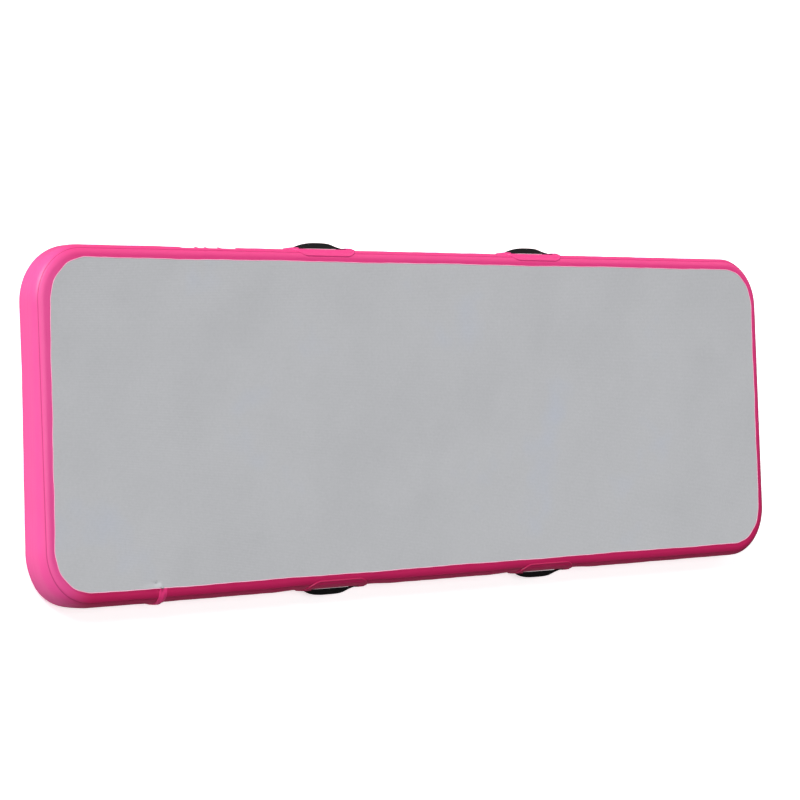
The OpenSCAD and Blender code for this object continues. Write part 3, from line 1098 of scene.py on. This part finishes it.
    def tape_columns(self, end: float) -> tuple[np.ndarray, np.ndarray]:
        """Columns of a tape's section and its thickness, rounded off at both cut edges.

        Args:
            end: Distance along the section at which the tape ends.

        Returns:
            Distances along the section, and the offset of the tape's outer face.
        """
        t = end * (1.0 - np.cos(np.linspace(0.0, np.pi, 30))) / 2.0
        edge = np.minimum(smooth(t, -0.6 * MM, 0.9 * MM), 0.25 + 0.75 * smooth(end - t, 0.0, 1.4 * MM))
        return t, self.ply * edge

    def sidewall(self) -> None:
        """The outer sidewall: one closed strip with faint ridges where the inner ply ends."""
        base, normal = self.path.samples()
        t = np.linspace(self.section.lap, self.section.length - self.section.lap, 56)
        middle = self.section.length / 2.0
        ridge = sum(hill(t, middle + s * 27.0 * MM, 1.9 * MM) for s in (-1.0, 1.0)) * 0.35 * MM
        ridge = ridge + hill(t, middle - 8.0 * MM, 2.2 * MM) * 0.22 * MM
        outer = self.wall(base, normal, t, ridge)
        inner = self.wall(base, normal, t, np.full_like(t, -self.ply))
        piece = shell("sidewall_strip", outer, inner, Finish.SIDEWALL.made(), wrap=True)
        cut_round_hole(piece, Vector((self.wall_high.x, 0.0, self.mid_z)), self.valve_hole, 80.0 * MM)
        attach(piece, self.BODY)
        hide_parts("outer_sidewall")

    def rim_tape(self, name: str, node: str, upper: bool) -> None:
        """A rim tape, from the edge of the face layer round the shoulder.

        Args:
            name: Name of the piece.
            node: The CAD node that it stands for.
            upper: Whether this is the top edge's tape; the bottom one is its mirror image.
        """
        base, normal = self.path.samples()
        t, thick = self.tape_columns(self.tape_end)
        if not upper:
            t = self.section.length - t
        outer = self.wall(base, normal, t, thick)
        inner = self.wall(base, normal, t, np.full_like(t, 0.05 * MM))
        lap = 1.0 - np.clip(np.minimum(t, self.section.length - t) / self.section.lap, 0.0, 1.0)
        for grid in (outer, inner):
            grid[..., :2] += self.wander(grid[..., :2]) * lap[:, None]
        piece = shell(name, outer, inner, Finish.TAPE.made(), wrap=True)
        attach(piece, self.BODY)
        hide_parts(node)

    def glue_bead(self, name: str, t: float, width: float, height: float, finish: Finish) -> None:
        """A bead of glue squeezed out along the edge of a tape, all round the mat.

        Its section is a flattened ring: a cosine across the edge and a clipped sine above it.

        Args:
            name: Name of the piece.
            t: Where the bead lies along the wall's section.
            width: Its width.
            height: Its height above the sheet that it lies on.
            finish: Its finish.
        """
        base, normal = self.path.samples()
        turn = np.linspace(0.0, 2.0 * np.pi, 12, endpoint=False)
        across = np.cos(turn) * width / 2.0
        rise = np.clip(np.sin(turn), -0.3, 1.0) * height
        places = np.tile(t + across, (len(base), 1))
        rings = self.wall(base, normal, places, rise[None] + self.seat(t))
        share = max(0.0, 1.0 - min(t, self.section.length - t) / self.section.lap)
        middle = base - normal * (self.section.radius + self.section.lap)
        rings[..., :2] += self.wander(middle)[:, None] * share
        count, n = rings.shape[:2]
        index = np.arange(count * n).reshape(count, n)
        index = np.vstack([index, index[:1]])
        quads = grid_faces(np.hstack([index, index[:, :1]]))
        piece = make_piece(name, rings, quads, finish.made())
        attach(piece, self.BODY)

    def seat(self, t: float) -> float:
        """Height above the sidewall's face that a bead at t lies on: a ply at the face's edge."""
        return self.ply if min(t, self.section.length - t) < 1.0 * MM else 0.1 * MM

    def joint_strap(self) -> None:
        """The lifted end of the sidewall strip: a ridge across the wall with one corner proud."""
        x = self.joint.x + np.linspace(-1.0, 0.7, 34) * self.joint.half_width
        base = np.stack([x, np.full_like(x, -self.wall_high.y)], axis=1)
        normal = np.tile([0.0, -1.0], (len(x), 1))
        t = np.linspace(1.5 * MM, self.section.length - self.section.lap - 0.35 * self.section.arc, 60)
        u = (x[:, None] - self.joint.x) / self.joint.half_width
        ridge = 2.8 * MM * hill(u, -0.10, 0.48)
        from_middle = t - self.section.length / 2.0
        along = smooth(t, 0.0, 18.0 * MM) * (0.75 + 0.25 * np.cos(from_middle / (30.0 * MM)))
        corner = 4.5 * MM * smooth(u, 0.45, 1.0) * hill(t, self.section.length * 0.56, 9.0 * MM)
        edge = smooth(1.0 - np.abs(u), 0.0, 0.10)
        lift = self.ply * 1.02 + ridge * along + corner
        outer = self.wall(base, normal, t, lift + self.ply * (0.2 + 0.8 * edge))
        inner = self.wall(base, normal, t, lift * (0.02 + 0.98 * edge))
        # its finish is lighter than the wall's: a painted highlight on the ridge
        piece = shell("sidewall_overlap", outer, inner, Finish.JOINT.made())
        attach(piece, self.BODY)
        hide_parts("sidewall_joint_strap")

    def wall_print(self) -> None:
        """Four plain slanted bars in white ink on the +Y wall, each a thin film on the fabric."""
        inner, outer = (np.array([0.0, lift, 0.0]) for lift in self.print_film)
        for number, (start, length) in enumerate(PRINT_BARS, 1):
            middle, shares = np.linspace(-1, 1, 26), np.linspace(-1, 1, 10)
            x, rise = rounded_rows(length / 2.0, self.print_height / 2.0, 4.0 * MM, middle, shares)
            along = start + length / 2.0 + x - self.print_slant * rise
            base = np.stack([along.ravel(), np.full(x.size, self.wall_high.y)], axis=1)
            normal = np.tile([0.0, 1.0], (x.size, 1))
            t = self.section.length / 2.0 + rise.reshape(-1, 1)
            face = self.wall(base, normal, t, np.zeros_like(t)).reshape(x.shape + (3,))
            piece = shell(f"wall_print_{number}", face + outer, face + inner, Finish.PRINT.made())
            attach(piece, self.BODY)

    def build(self) -> None:
        """Builds every piece of the mat."""
        low, high = self.grip_low.z, self.grip_high.z
        self.face_layer("top_grip_face", "top_grip_layer", low, high, 1.0, Finish.GRIP)
        self.face_layer("bottom_face", "bottom_skin_layer", 0.0, self.ply, 0.0, Finish.UNDERSIDE)
        self.sidewall()
        self.rim_tape("upper_rim_band", "upper_rim_tape", True)
        self.rim_tape("lower_rim_band", "lower_rim_tape", False)
        self.glue_bead("rim_glue_bead", 0.0, 2.2 * MM, 0.5 * MM, Finish.GLUE)
        # these darker beads draw a dark line along each tape's edge
        seam = self.tape_end + 0.9 * MM
        self.glue_bead("upper_tape_glue", seam, 2.4 * MM, 0.7 * MM, Finish.SEAM)
        self.glue_bead("lower_tape_glue", self.section.length - seam, 2.4 * MM, 0.7 * MM, Finish.SEAM)
        self.joint_strap()
        self.wall_print()
        for node in ("top_drop_stitch_cloth", "bottom_drop_stitch_cloth", "inner_sidewall"):
            dress(node, Finish.CLOTH)
        dress("drop_stitch_yarns", Finish.YARN)
        LOG.info("mat: %.3f x %.3f m, ply %.1f mm", self.wall_high.x * 2, self.wall_high.y * 2, self.ply / MM)


def dress(node: str, finish: Finish) -> None:
    """Gives a CAD node that stays its finish.

    Args:
        node: Name of the node.
        finish: Its finish.
    """
    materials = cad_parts[node].data.materials
    materials.clear()
    materials.append(finish.made())


# ---------- handles ----------


@dataclass
class Handle:
    """One webbing carry handle on a long side.

    Attributes:
        mat: The mat that it is fixed to.
        number: 1 and 2 are on the +Y side, 3 and 4 on the -Y side.
        webbing_t: Thickness of the webbing.
        anchor: Length of webbing sewn down at each end.
        patch_corner: Corner radius of the backing patch.
        patch_turn: How far round each shoulder the backing patch reaches, in degrees.
        stitch: Distance from one stitch to the next.
        thread: Radius of the sewing thread.
    """

    mat: Mat
    number: int
    webbing_t: float = 2.5 * MM
    anchor: float = 24.0 * MM
    patch_corner: float = 52.0 * MM
    patch_turn: float = 76.0
    stitch: float = 3.4 * MM
    thread: float = 0.32 * MM

    def __post_init__(self) -> None:
        """Reads the handle's place and sizes from the frame."""
        low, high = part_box(self.node("backing_patch"))
        self.side = 1.0 if self.number <= 2 else -1.0
        self.reach = STRAP_REACH[self.number]
        self.x = (low.x + high.x) / 2.0
        self.patch_half = (high.x - low.x) / 2.0
        ends_low, ends_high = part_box(self.node("webbing_ends"))
        covers_low, covers_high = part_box(self.node("cover_patches"))
        self.strap_half = (ends_high.x - ends_low.x) / 2.0
        self.cover_half = (covers_high.x - covers_low.x) / 2.0
        self.cover_height = covers_high.z - covers_low.z
        margin = self.cover_half - self.strap_half
        self.width = self.cover_height - 2.0 * margin
        self.span_half = self.strap_half - self.anchor
        self.face = 2.0 * self.mat.ply + 0.05 * MM

    def node(self, part: str) -> str:
        """Name of one of the handle's CAD nodes."""
        return f"handle_{self.number}_{part}"

    def on_wall(self, x: np.ndarray, t: np.ndarray, offset: np.ndarray) -> np.ndarray:
        """Points above the sidewall under the handle, held clear of the floor.

        Args:
            x: Places along the mat, rows x columns.
            t: Distances along the section, rows x columns.
            offset: Distances above the sidewall, rows x columns.

        Returns:
            Points, rows x columns x 3.
        """
        section = self.mat.section
        out, z, n_out, n_z = section.at(t)
        room = np.where(n_z < -0.05, (z - FLOOR_GAP) / np.maximum(-n_z, 0.05), np.inf)
        offset = np.minimum(offset, room)
        y = self.mat.wall_high.y + out + n_out * offset
        return np.stack([self.x + x, self.side * y, z + n_z * offset], axis=-1)

    def backing_patch(self) -> None:
        """The pink patch: two plies, feathered at the edge, with a welded rib just inside it."""
        section = self.mat.section
        corner = self.patch_corner
        half_t = section.length / 2.0 - section.lap - section.radius * np.radians(90.0 - self.patch_turn)
        middle, shares = np.linspace(-1, 1, 60), np.linspace(-1, 1, 260)
        x, high = rounded_rows(self.patch_half, half_t, corner, middle, shares)
        t = section.length / 2.0 + high
        edge = np.minimum(self.patch_half - np.abs(x), half_t - np.abs(high))
        qx = np.abs(x) - (self.patch_half - corner)
        qy = np.abs(high) - (half_t - corner)
        outside = np.hypot(np.clip(qx, 0.0, None), np.clip(qy, 0.0, None))
        edge = np.minimum(edge, corner - outside)
        tape_end = section.length / 2.0 - self.mat.tape_end
        over_tape = smooth(np.abs(high), tape_end - 2.0 * MM, tape_end + 1.0 * MM)
        weld = 1.0 * MM * hill(edge, 2.4 * MM, 1.3 * MM) - 0.7 * MM * hill(edge, 6.5 * MM, 1.8 * MM)
        inner = np.maximum(over_tape * (self.mat.ply + 0.05 * MM), 0.05 * MM)
        rise = np.maximum(self.face, inner + self.mat.ply) - inner
        height = inner + rise * (0.2 + 0.8 * smooth(edge, 0.0, 1.0 * MM)) + weld
        outer = self.on_wall(x, t, height)
        piece = shell(self.node("patch"), outer, self.on_wall(x, t, inner), Finish.PATCH.made())
        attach(piece, self.mat.BODY)
        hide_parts(self.node("backing_patch"))

    def cover(self, hand: float) -> bpy.types.Object:
        """One small patch over a strap end, tented over the webbing.

        Args:
            hand: -1 for the -X end of the strap, 1 for the +X end.

        Returns:
            The piece.
        """
        half_x = (self.cover_half - self.span_half) / 2.0
        half_t = self.cover_height / 2.0 + 0.4 * MM
        x, rise = rounded_rows(half_x, half_t, 5.0 * MM, np.linspace(-1, 1, 40), np.linspace(-1, 1, 30))
        middle = self.span_half + half_x
        beyond = np.clip(x + middle - self.strap_half, 0.0, None)
        beside = np.clip(np.abs(rise) - self.width / 2.0, 0.0, None)
        tent = 1.0 - smooth(np.hypot(beyond, beside), 0.3 * MM, 4.2 * MM)
        edge = np.minimum(half_x - np.abs(x), half_t - np.abs(rise))
        mouth = np.minimum(half_x + x, 1.2 * MM) / (1.2 * MM)
        inner = self.face + 0.05 * MM + (self.webbing_t + 0.05 * MM) * tent
        thick = self.mat.ply * (0.3 + 0.7 * smooth(edge, 0.0, 1.0 * MM) * (0.5 + 0.5 * mouth))
        t = self.mat.section.length / 2.0 + rise
        place = hand * (x + middle)
        name = self.node("cover_left" if hand < 0 else "cover_right")
        outer = self.on_wall(place, t, inner + thick)
        return shell(name, outer, self.on_wall(place, t, inner), Finish.PATCH.made())

    def covers(self) -> None:
        """Both cover patches."""
        for hand in (-1.0, 1.0):
            piece = self.cover(hand)
            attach(piece, self.mat.BODY)
            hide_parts(self.node("cover_patches"))

    def lifted(self, level: np.ndarray, share: np.ndarray) -> np.ndarray:
        """Turns points up about the handle's swing axis.

        Args:
            level: Points as x, distance out from the wall and height above mid wall.
            share: Share of the full lift at each point.

        Returns:
            Points in the shared frame.
        """
        angle = LIFT * share
        out = level[..., 1] * np.cos(angle) - level[..., 2] * np.sin(angle)
        rise = level[..., 2] * np.cos(angle) + level[..., 1] * np.sin(angle)
        y = self.side * (self.mat.wall_high.y + out)
        return np.stack([self.x + level[..., 0], y, self.mat.mid_z + rise], axis=-1)

    def strap_half_piece(self, hand: float) -> bpy.types.Object:
        """One half of the webbing, from its fixed end to the middle of the grip.

        The strap's distance from the wall follows an arch of the share q of the way from the
        middle to the cover patch: 1 - q^3.4, or (1 - q^2.2)^1.1 on the slacker -X half of a
        strap on the +Y side.  Its lift follows the arch to the power 0.85.  Its
        section is a superellipse, 38 x 2.5 mm, thickened a little at the selvedges.

        Args:
            hand: -1 for the -X half, 1 for the +X half.

        Returns:
            The piece.
        """
        along = np.linspace(0.0, 1.0, 84) ** 0.9 * (self.strap_half - 0.3 * MM)
        q = np.clip(along / self.span_half, 0.0, 1.0)
        arch = (1.0 - q**2.2) ** 1.1 if hand < 0.0 < self.side else 1.0 - q**3.4
        rest = self.face + 0.03 * MM + self.webbing_t / 2.0
        centre = rest + (self.reach - TUCK + self.webbing_t / 2.0 - rest) * arch
        slope = np.gradient(centre, along)
        turn = np.linspace(0.0, 2.0 * np.pi, 48, endpoint=False) + np.pi / 48.0
        c, s = np.cos(turn), np.sin(turn)
        across = self.width / 2.0 * SPREAD * squared(c, 0.45)
        inwards = self.width / 2.0 - np.abs(across)
        selvedge = 1.0 + 0.10 * smooth(-inwards, -2.5 * MM, -1.0 * MM)
        thick = (self.webbing_t - 0.10 * MM) / 2.0 * squared(s, 0.35) * selvedge
        lean = 1.0 / np.sqrt(1.0 + slope**2)
        level = np.stack(
            [
                hand * (along[:, None] - (slope * lean)[:, None] * thick),
                centre[:, None] + lean[:, None] * thick,
                np.broadcast_to(across, (len(along), len(across))),
            ],
            axis=-1,
        )
        rings = self.lifted(level, arch[:, None] ** 0.85)
        lengths = np.concatenate([[0.0], np.cumsum(np.hypot(np.diff(along), np.diff(centre)))])
        uv = np.stack(np.broadcast_arrays(hand * lengths[:, None], across[None]), axis=-1)
        name = self.node("strap_left" if hand < 0 else "strap_right")
        return loops_body(name, rings, Finish.WEBBING.made(), uv)

    def strap(self) -> None:
        """Both halves of the webbing, bending between the mat and the swinging grip."""
        for hand, node in ((-1.0, "webbing_ends"), (1.0, "webbing_grip")):
            piece = self.strap_half_piece(hand)
            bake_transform(piece)
            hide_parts(self.node(node))

    def stitching(self) -> None:
        """Lock stitches through the covers: a box with a cross in it on each strap end.

        A stitch is a six-sided tube bent into half an ellipse, so both its ends go down into
        the cover.
        """
        half_x = (self.strap_half - self.span_half) / 2.0 - 3.0 * MM
        half_z = self.width / 2.0 - 3.5 * MM
        corners = np.array([[-half_x, -half_z], [half_x, -half_z], [half_x, half_z], [-half_x, half_z]])
        order = [0, 1, 2, 3, 0, 2, 3, 1]
        path = corners[order]
        starts, ways = [], []
        for a, b in zip(path[:-1], path[1:]):
            gap = b - a
            count = int(np.linalg.norm(gap) // self.stitch)
            way = gap / np.linalg.norm(gap)
            starts.append(a + gap * ((np.arange(count) + 0.5) / count)[:, None])
            ways.append(np.tile(way, (count, 1)))
        middle, way = np.concatenate(starts), np.concatenate(ways)
        bend = np.linspace(0.0, np.pi, 7)
        reach = -np.cos(bend) * 1.25 * MM
        lift = np.sin(bend) * 0.55 * MM - 0.25 * MM
        turn = np.linspace(0.0, 2.0 * np.pi, 6, endpoint=False)
        side_way = np.stack([-way[:, 1], way[:, 0]], axis=1)
        spot = middle[:, None, None] + way[:, None, None] * reach[:, None, None]
        spot = spot + side_way[:, None, None] * (np.cos(turn) * self.thread)[:, None]
        up = np.broadcast_to(lift[:, None] + np.sin(turn) * self.thread, spot.shape[:3])
        surface = self.face + self.webbing_t + self.mat.ply + 0.10 * MM
        points = []
        for hand in (-1.0, 1.0):
            x = hand * ((self.strap_half + self.span_half) / 2.0 + spot[..., 0])
            t = self.mat.section.length / 2.0 + spot[..., 1]
            points.append(self.on_wall(x, t, surface + up))
        rings = np.concatenate(points)
        count, n = rings.shape[1:3]
        index = np.arange(count * n).reshape(count, n)
        one = grid_faces(np.hstack([index, index[:, :1]]))
        ends = (index[0], index[-1][::-1])
        caps = [grid_faces(np.stack([row[: n // 2], row[::-1][: n // 2]])) for row in ends]
        one = np.concatenate([one, *caps])
        quads = (one[None] + (np.arange(len(rings)) * count * n)[:, None, None]).reshape(-1, 4)
        piece = make_piece(self.node("stitches"), rings, quads, Finish.THREAD.made())
        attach(piece, self.mat.BODY)
        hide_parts(self.node("stitching"))

    def build(self) -> None:
        """Builds the handle's pieces."""
        self.backing_patch()
        self.covers()
        self.strap()
        self.stitching()
        LOG.info("handle %d: at x %.2f m, webbing %.0f mm", self.number, self.x, self.width / MM)


# ---------- valve ----------


@dataclass
class Valve:
    """The inflation valve in the middle of the +X end.

    Attributes:
        mat: The mat that it is fixed to.
        notches: Finger notches round the cap.
        notch_depth: Depth of each notch.
        bar_height: Height and half width of the thumb bar.
        travel: How far the stem is pushed in; not used.
    """

    mat: Mat
    notches: int = 12
    notch_depth: float = 0.9 * MM
    bar_height: float = 2.2 * MM
    travel: float = 6.0 * MM

    def patch(self) -> None:
        """The round reinforcing patch, welded to the wall, with the barrel's hole in it."""
        low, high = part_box("valve_patch")
        reach = (high.y - low.y) / 2.0
        turn = np.linspace(0.0, 2.0 * np.pi, 96, endpoint=False)
        radius = np.linspace(self.mat.valve_hole, reach, 26)
        y = np.sin(turn)[:, None] * radius
        t = self.mat.section.length / 2.0 + np.cos(turn)[:, None] * radius
        edge = reach - radius
        weld = 0.25 * MM * (hill(edge, 5.0 * MM, 1.2 * MM) - hill(edge, 2.8 * MM, 0.9 * MM))
        thick = self.mat.ply * (0.3 + 0.7 * smooth(edge, 0.0, 1.5 * MM)) + weld
        outer = self.on_end(y, t, 0.05 * MM + thick)
        inner = self.on_end(y, t, np.full_like(thick, 0.05 * MM))
        piece = shell("valve_reinforcement", outer, inner, Finish.PATCH.made(), wrap=True)
        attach(piece, self.mat.BODY)
        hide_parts("valve_patch")

    def on_end(self, y: np.ndarray, t: np.ndarray, offset: np.ndarray) -> np.ndarray:
        """Points above the sidewall on the +X end, at y across and t along the section."""
        out, z, n_out, n_z = self.mat.section.at(t)
        return np.stack([self.mat.wall_high.x + out + n_out * offset, y, z + n_z * offset], axis=-1)

    def cap(self) -> None:
        """The screw cap: a turned shell with finger notches, a tether groove and a raised bar.

        The profile is a radius for each distance along the axis; the radius outside the groove
        dips by a cosine hollow at each notch.
        """
        low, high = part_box("valve_cap")
        seal_low, seal_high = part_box("valve_cap_seal")
        ring_low, ring_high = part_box("valve_tether_ring")
        radius = (high.z - low.z) / 2.0
        bore = (seal_high.z - seal_low.z) / 2.0 + 0.1 * MM
        groove_low, groove_high = ring_low.x - 0.2 * MM, ring_high.x + 0.2 * MM
        groove_r = radius - 1.4 * MM
        edge = 1.2 * MM
        top, floor = high.x, seal_high.x
        dish = top - 0.5 * MM
        arc = np.linspace(0.0, np.pi / 2.0, 7)
        skirt_x = np.linspace(groove_high, top - edge, 8)
        profile = np.concatenate(
            [
                [[floor, 0.0], [floor, bore * 0.5], [floor, bore], [low.x, bore], [low.x, radius - 0.3 * MM]],
                [[low.x + 0.3 * MM, radius], [groove_low, radius], [groove_low, groove_r]],
                [[groove_high, groove_r]],
                np.stack([skirt_x, np.full(8, radius)], axis=1),
                np.stack([top - edge + edge * np.sin(arc), radius - edge + edge * np.cos(arc)], axis=1),
                [[top, radius - 3.0 * MM], [dish, radius - 3.8 * MM], [dish, radius * 0.4], [dish, 0.0]],
            ]
        )
        turn = np.linspace(0.0, 2.0 * np.pi, self.notches * 12, endpoint=False)
        wave = np.clip(np.cos(turn * self.notches), 0.0, 1.0) ** 1.5
        gripped = (profile[:, 1] > groove_r + 0.1 * MM) & (profile[:, 0] >= groove_high)
        r = profile[:, 1][None] - wave[:, None] * self.notch_depth * gripped
        middle_z = (low.z + high.z) / 2.0
        points = np.stack(
            [
                np.broadcast_to(profile[:, 0], r.shape),
                np.sin(turn)[:, None] * r,
                middle_z + np.cos(turn)[:, None] * r,
            ],
            axis=-1,
        )
        index = np.arange(r.size).reshape(r.shape)
        quads = grid_faces(np.vstack([index, index[:1]]))
        piece = make_piece("valve_screw_cap", points, quads, Finish.VALVE.made())
        weld_doubles(piece)
        sharpen(piece, 35.0)
        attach(piece, "valve_cap")
        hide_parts("valve_cap")
        self.cap_bar(top, radius, middle_z)

    def cap_bar(self, top: float, radius: float, middle_z: float) -> None:
        """The raised thumb bar across the cap: an arched superellipse section along Y.

        Args:
            top: Where the cap's outer face is, along X.
            radius: Radius of the cap.
            middle_z: Height of the cap's axis.
        """
        along = np.linspace(-1.0, 1.0, 40)
        height = self.bar_height * (1.0 - np.abs(along) ** 6) + 0.2 * MM
        turn = np.linspace(0.0, 2.0 * np.pi, 24, endpoint=False) + np.pi / 24.0
        wide = squared(np.cos(turn), 0.5) * self.bar_height
        tall = squared(np.sin(turn), 0.5)
        rings = np.stack(
            [
                top - 0.6 * MM + height[:, None] * (tall * 0.5 + 0.5),
                np.broadcast_to(along[:, None] * (radius - 4.4 * MM), (40, 24)),
                middle_z + np.broadcast_to(wide, (40, 24)),
            ],
            axis=-1,
        )
        piece = loops_body("valve_cap_bar", rings, Finish.VALVE.made())
        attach(piece, "valve_cap")

    def spring(self) -> None:
        """Gives the spring its own copy of its mesh."""
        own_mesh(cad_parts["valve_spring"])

    def build(self) -> None:
        """Builds the soft and gripped pieces and dresses the turned ones."""
        self.patch()
        self.cap()
        dress("valve_housing", Finish.VALVE)
        dress("valve_nut", Finish.VALVE)
        dress("valve_stem", Finish.STEM)
        dress("valve_spring_seat", Finish.STEM)
        dress("valve_spring", Finish.WIRE)
        for node in ("valve_gasket", "valve_seal", "valve_cap_seal"):
            dress(node, Finish.SEAL)
        for node in ("valve_tether_ring", "valve_tether_strap"):
            dress(node, Finish.TETHER)
        self.spring()
        LOG.info("valve: built")


def weld_doubles(piece: bpy.types.Object) -> None:
    """Joins vertices that lie in one place, as at a turned shape's poles, and drops empty faces.

    Args:
        piece: The piece to mend.
    """
    work = bmesh.new()
    work.from_mesh(piece.data)
    bmesh.ops.remove_doubles(work, verts=work.verts, dist=1e-6)
    bmesh.ops.dissolve_degenerate(work, edges=work.edges, dist=1e-7)
    work.to_mesh(piece.data)
    work.free()


# ---------- studio ----------


@dataclass(frozen=True)
class FarSoftbox:
    """A large softbox so far away that its light is even over the whole mat.

    Attributes:
        name: Name of the light.
        towards: Direction from the mat to the light.
        strength: Light on a surface that faces it.
        spread: Angle that it fills, in degrees.
    """

    name: str
    towards: tuple[float, float, float]
    strength: float
    spread: float

    def build(self) -> None:
        """Hangs the light."""
        light = bpy.data.lights.new(self.name, "SUN")
        light.energy = self.strength
        light.angle = np.radians(self.spread)
        lamp = bpy.data.objects.new(self.name, light)
        lamp.location = Vector(self.towards) * 6.0
        lamp.rotation_euler = (-Vector(self.towards)).to_track_quat("-Z", "Y").to_euler()
        bpy.context.scene.collection.objects.link(lamp)


@dataclass(frozen=True)
class Studio:
    """The camera, the floor, the sky and the lights.

    Attributes:
        place: Where the camera stands.
        right: Direction to the camera's right.
        ahead: Direction that the camera looks in.
        lens: Focal length in millimetres.
        floor_half: Half the length of the floor's sides.
        floor_glow: Strength of the light from under the pale floor.
        sky: Strength of the light from all round.
        lights: The softboxes.
    """

    place: tuple[float, float, float] = (-5.9948, -0.0727, 6.4528)
    right: tuple[float, float, float] = (0.73727, -0.03711, 0.67458)
    ahead: tuple[float, float, float] = (0.67536, 0.01403, -0.73735)
    lens: float = 128.25
    floor_half: float = 14.0
    floor_glow: float = 0.6
    sky: float = 0.08
    lights: tuple[FarSoftbox, ...] = (
        FarSoftbox("key_softbox", (-1.0, 1.07, 0.95), 4.3, 34.0),
        FarSoftbox("top_softbox", (-0.06, 0.0, 1.0), 0.9, 36.0),
        FarSoftbox("rim_softbox", (0.675, 0.54, 0.50), 0.35, 36.0),
    )

    def camera(self) -> None:
        """Sets up the camera at its measured place and turn."""
        ahead = Vector(self.ahead).normalized()
        right = (Vector(self.right) - Vector(self.right).dot(ahead) * ahead).normalized()
        up = right.cross(ahead)
        data = bpy.data.cameras.new("camera")
        data.lens = self.lens
        data.clip_end = 60.0
        camera = bpy.data.objects.new("camera", data)
        turn = Matrix((right, up, -ahead)).transposed()
        camera.matrix_world = Matrix.Translation(self.place) @ turn.to_4x4()
        bpy.context.scene.collection.objects.link(camera)
        bpy.context.scene.camera = camera

    def floor(self) -> None:
        """A plain pale floor under the mat, lit a little from below like a packshot table."""
        side = np.linspace(-self.floor_half, self.floor_half, 3)
        x, y = np.meshgrid(side, side, indexing="ij")
        points = np.stack([x, y, np.zeros_like(x)], axis=-1)
        mesh = bpy.data.meshes.new("floor")
        quads = grid_faces(np.arange(9).reshape(3, 3))
        mesh.from_pydata(points.reshape(-1, 3).tolist(), [], quads.tolist())
        material, _, shader = new_material("pale_studio_floor")
        shader.inputs["Base Color"].default_value = linear("fbfbfb")
        shader.inputs["Roughness"].default_value = 0.9
        shader.inputs["Emission Color"].default_value = linear("ffffff")
        shader.inputs["Emission Strength"].default_value = self.floor_glow
        mesh.materials.append(material)
        floor = bpy.data.objects.new("floor", mesh)
        # black flags keep the bright floor out of the mat's reflections
        floor.visible_glossy = False
        bpy.context.scene.collection.objects.link(floor)

    def build(self) -> None:
        """Builds the studio."""
        self.camera()
        self.floor()
        world = bpy.data.worlds.new("studio")
        world.use_nodes = True
        sky = world.node_tree.nodes["Background"]
        sky.inputs["Color"].default_value = linear("ffffff")
        sky.inputs["Strength"].default_value = self.sky
        bpy.context.scene.world = world
        for light in self.lights:
            light.build()
        bpy.context.scene.view_settings.view_transform = "Standard"


def main() -> None:
    """Builds the studio, the mat, its handles and its valve, in that order."""
    logging.basicConfig(level=logging.INFO, format="%(name)s %(message)s")
    Studio().build()
    mat = Mat()
    mat.build()
    for number in range(1, 5):
        Handle(mat, number).build()
    Valve(mat).build()


if __name__ == "__main__":
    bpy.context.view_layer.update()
    main()
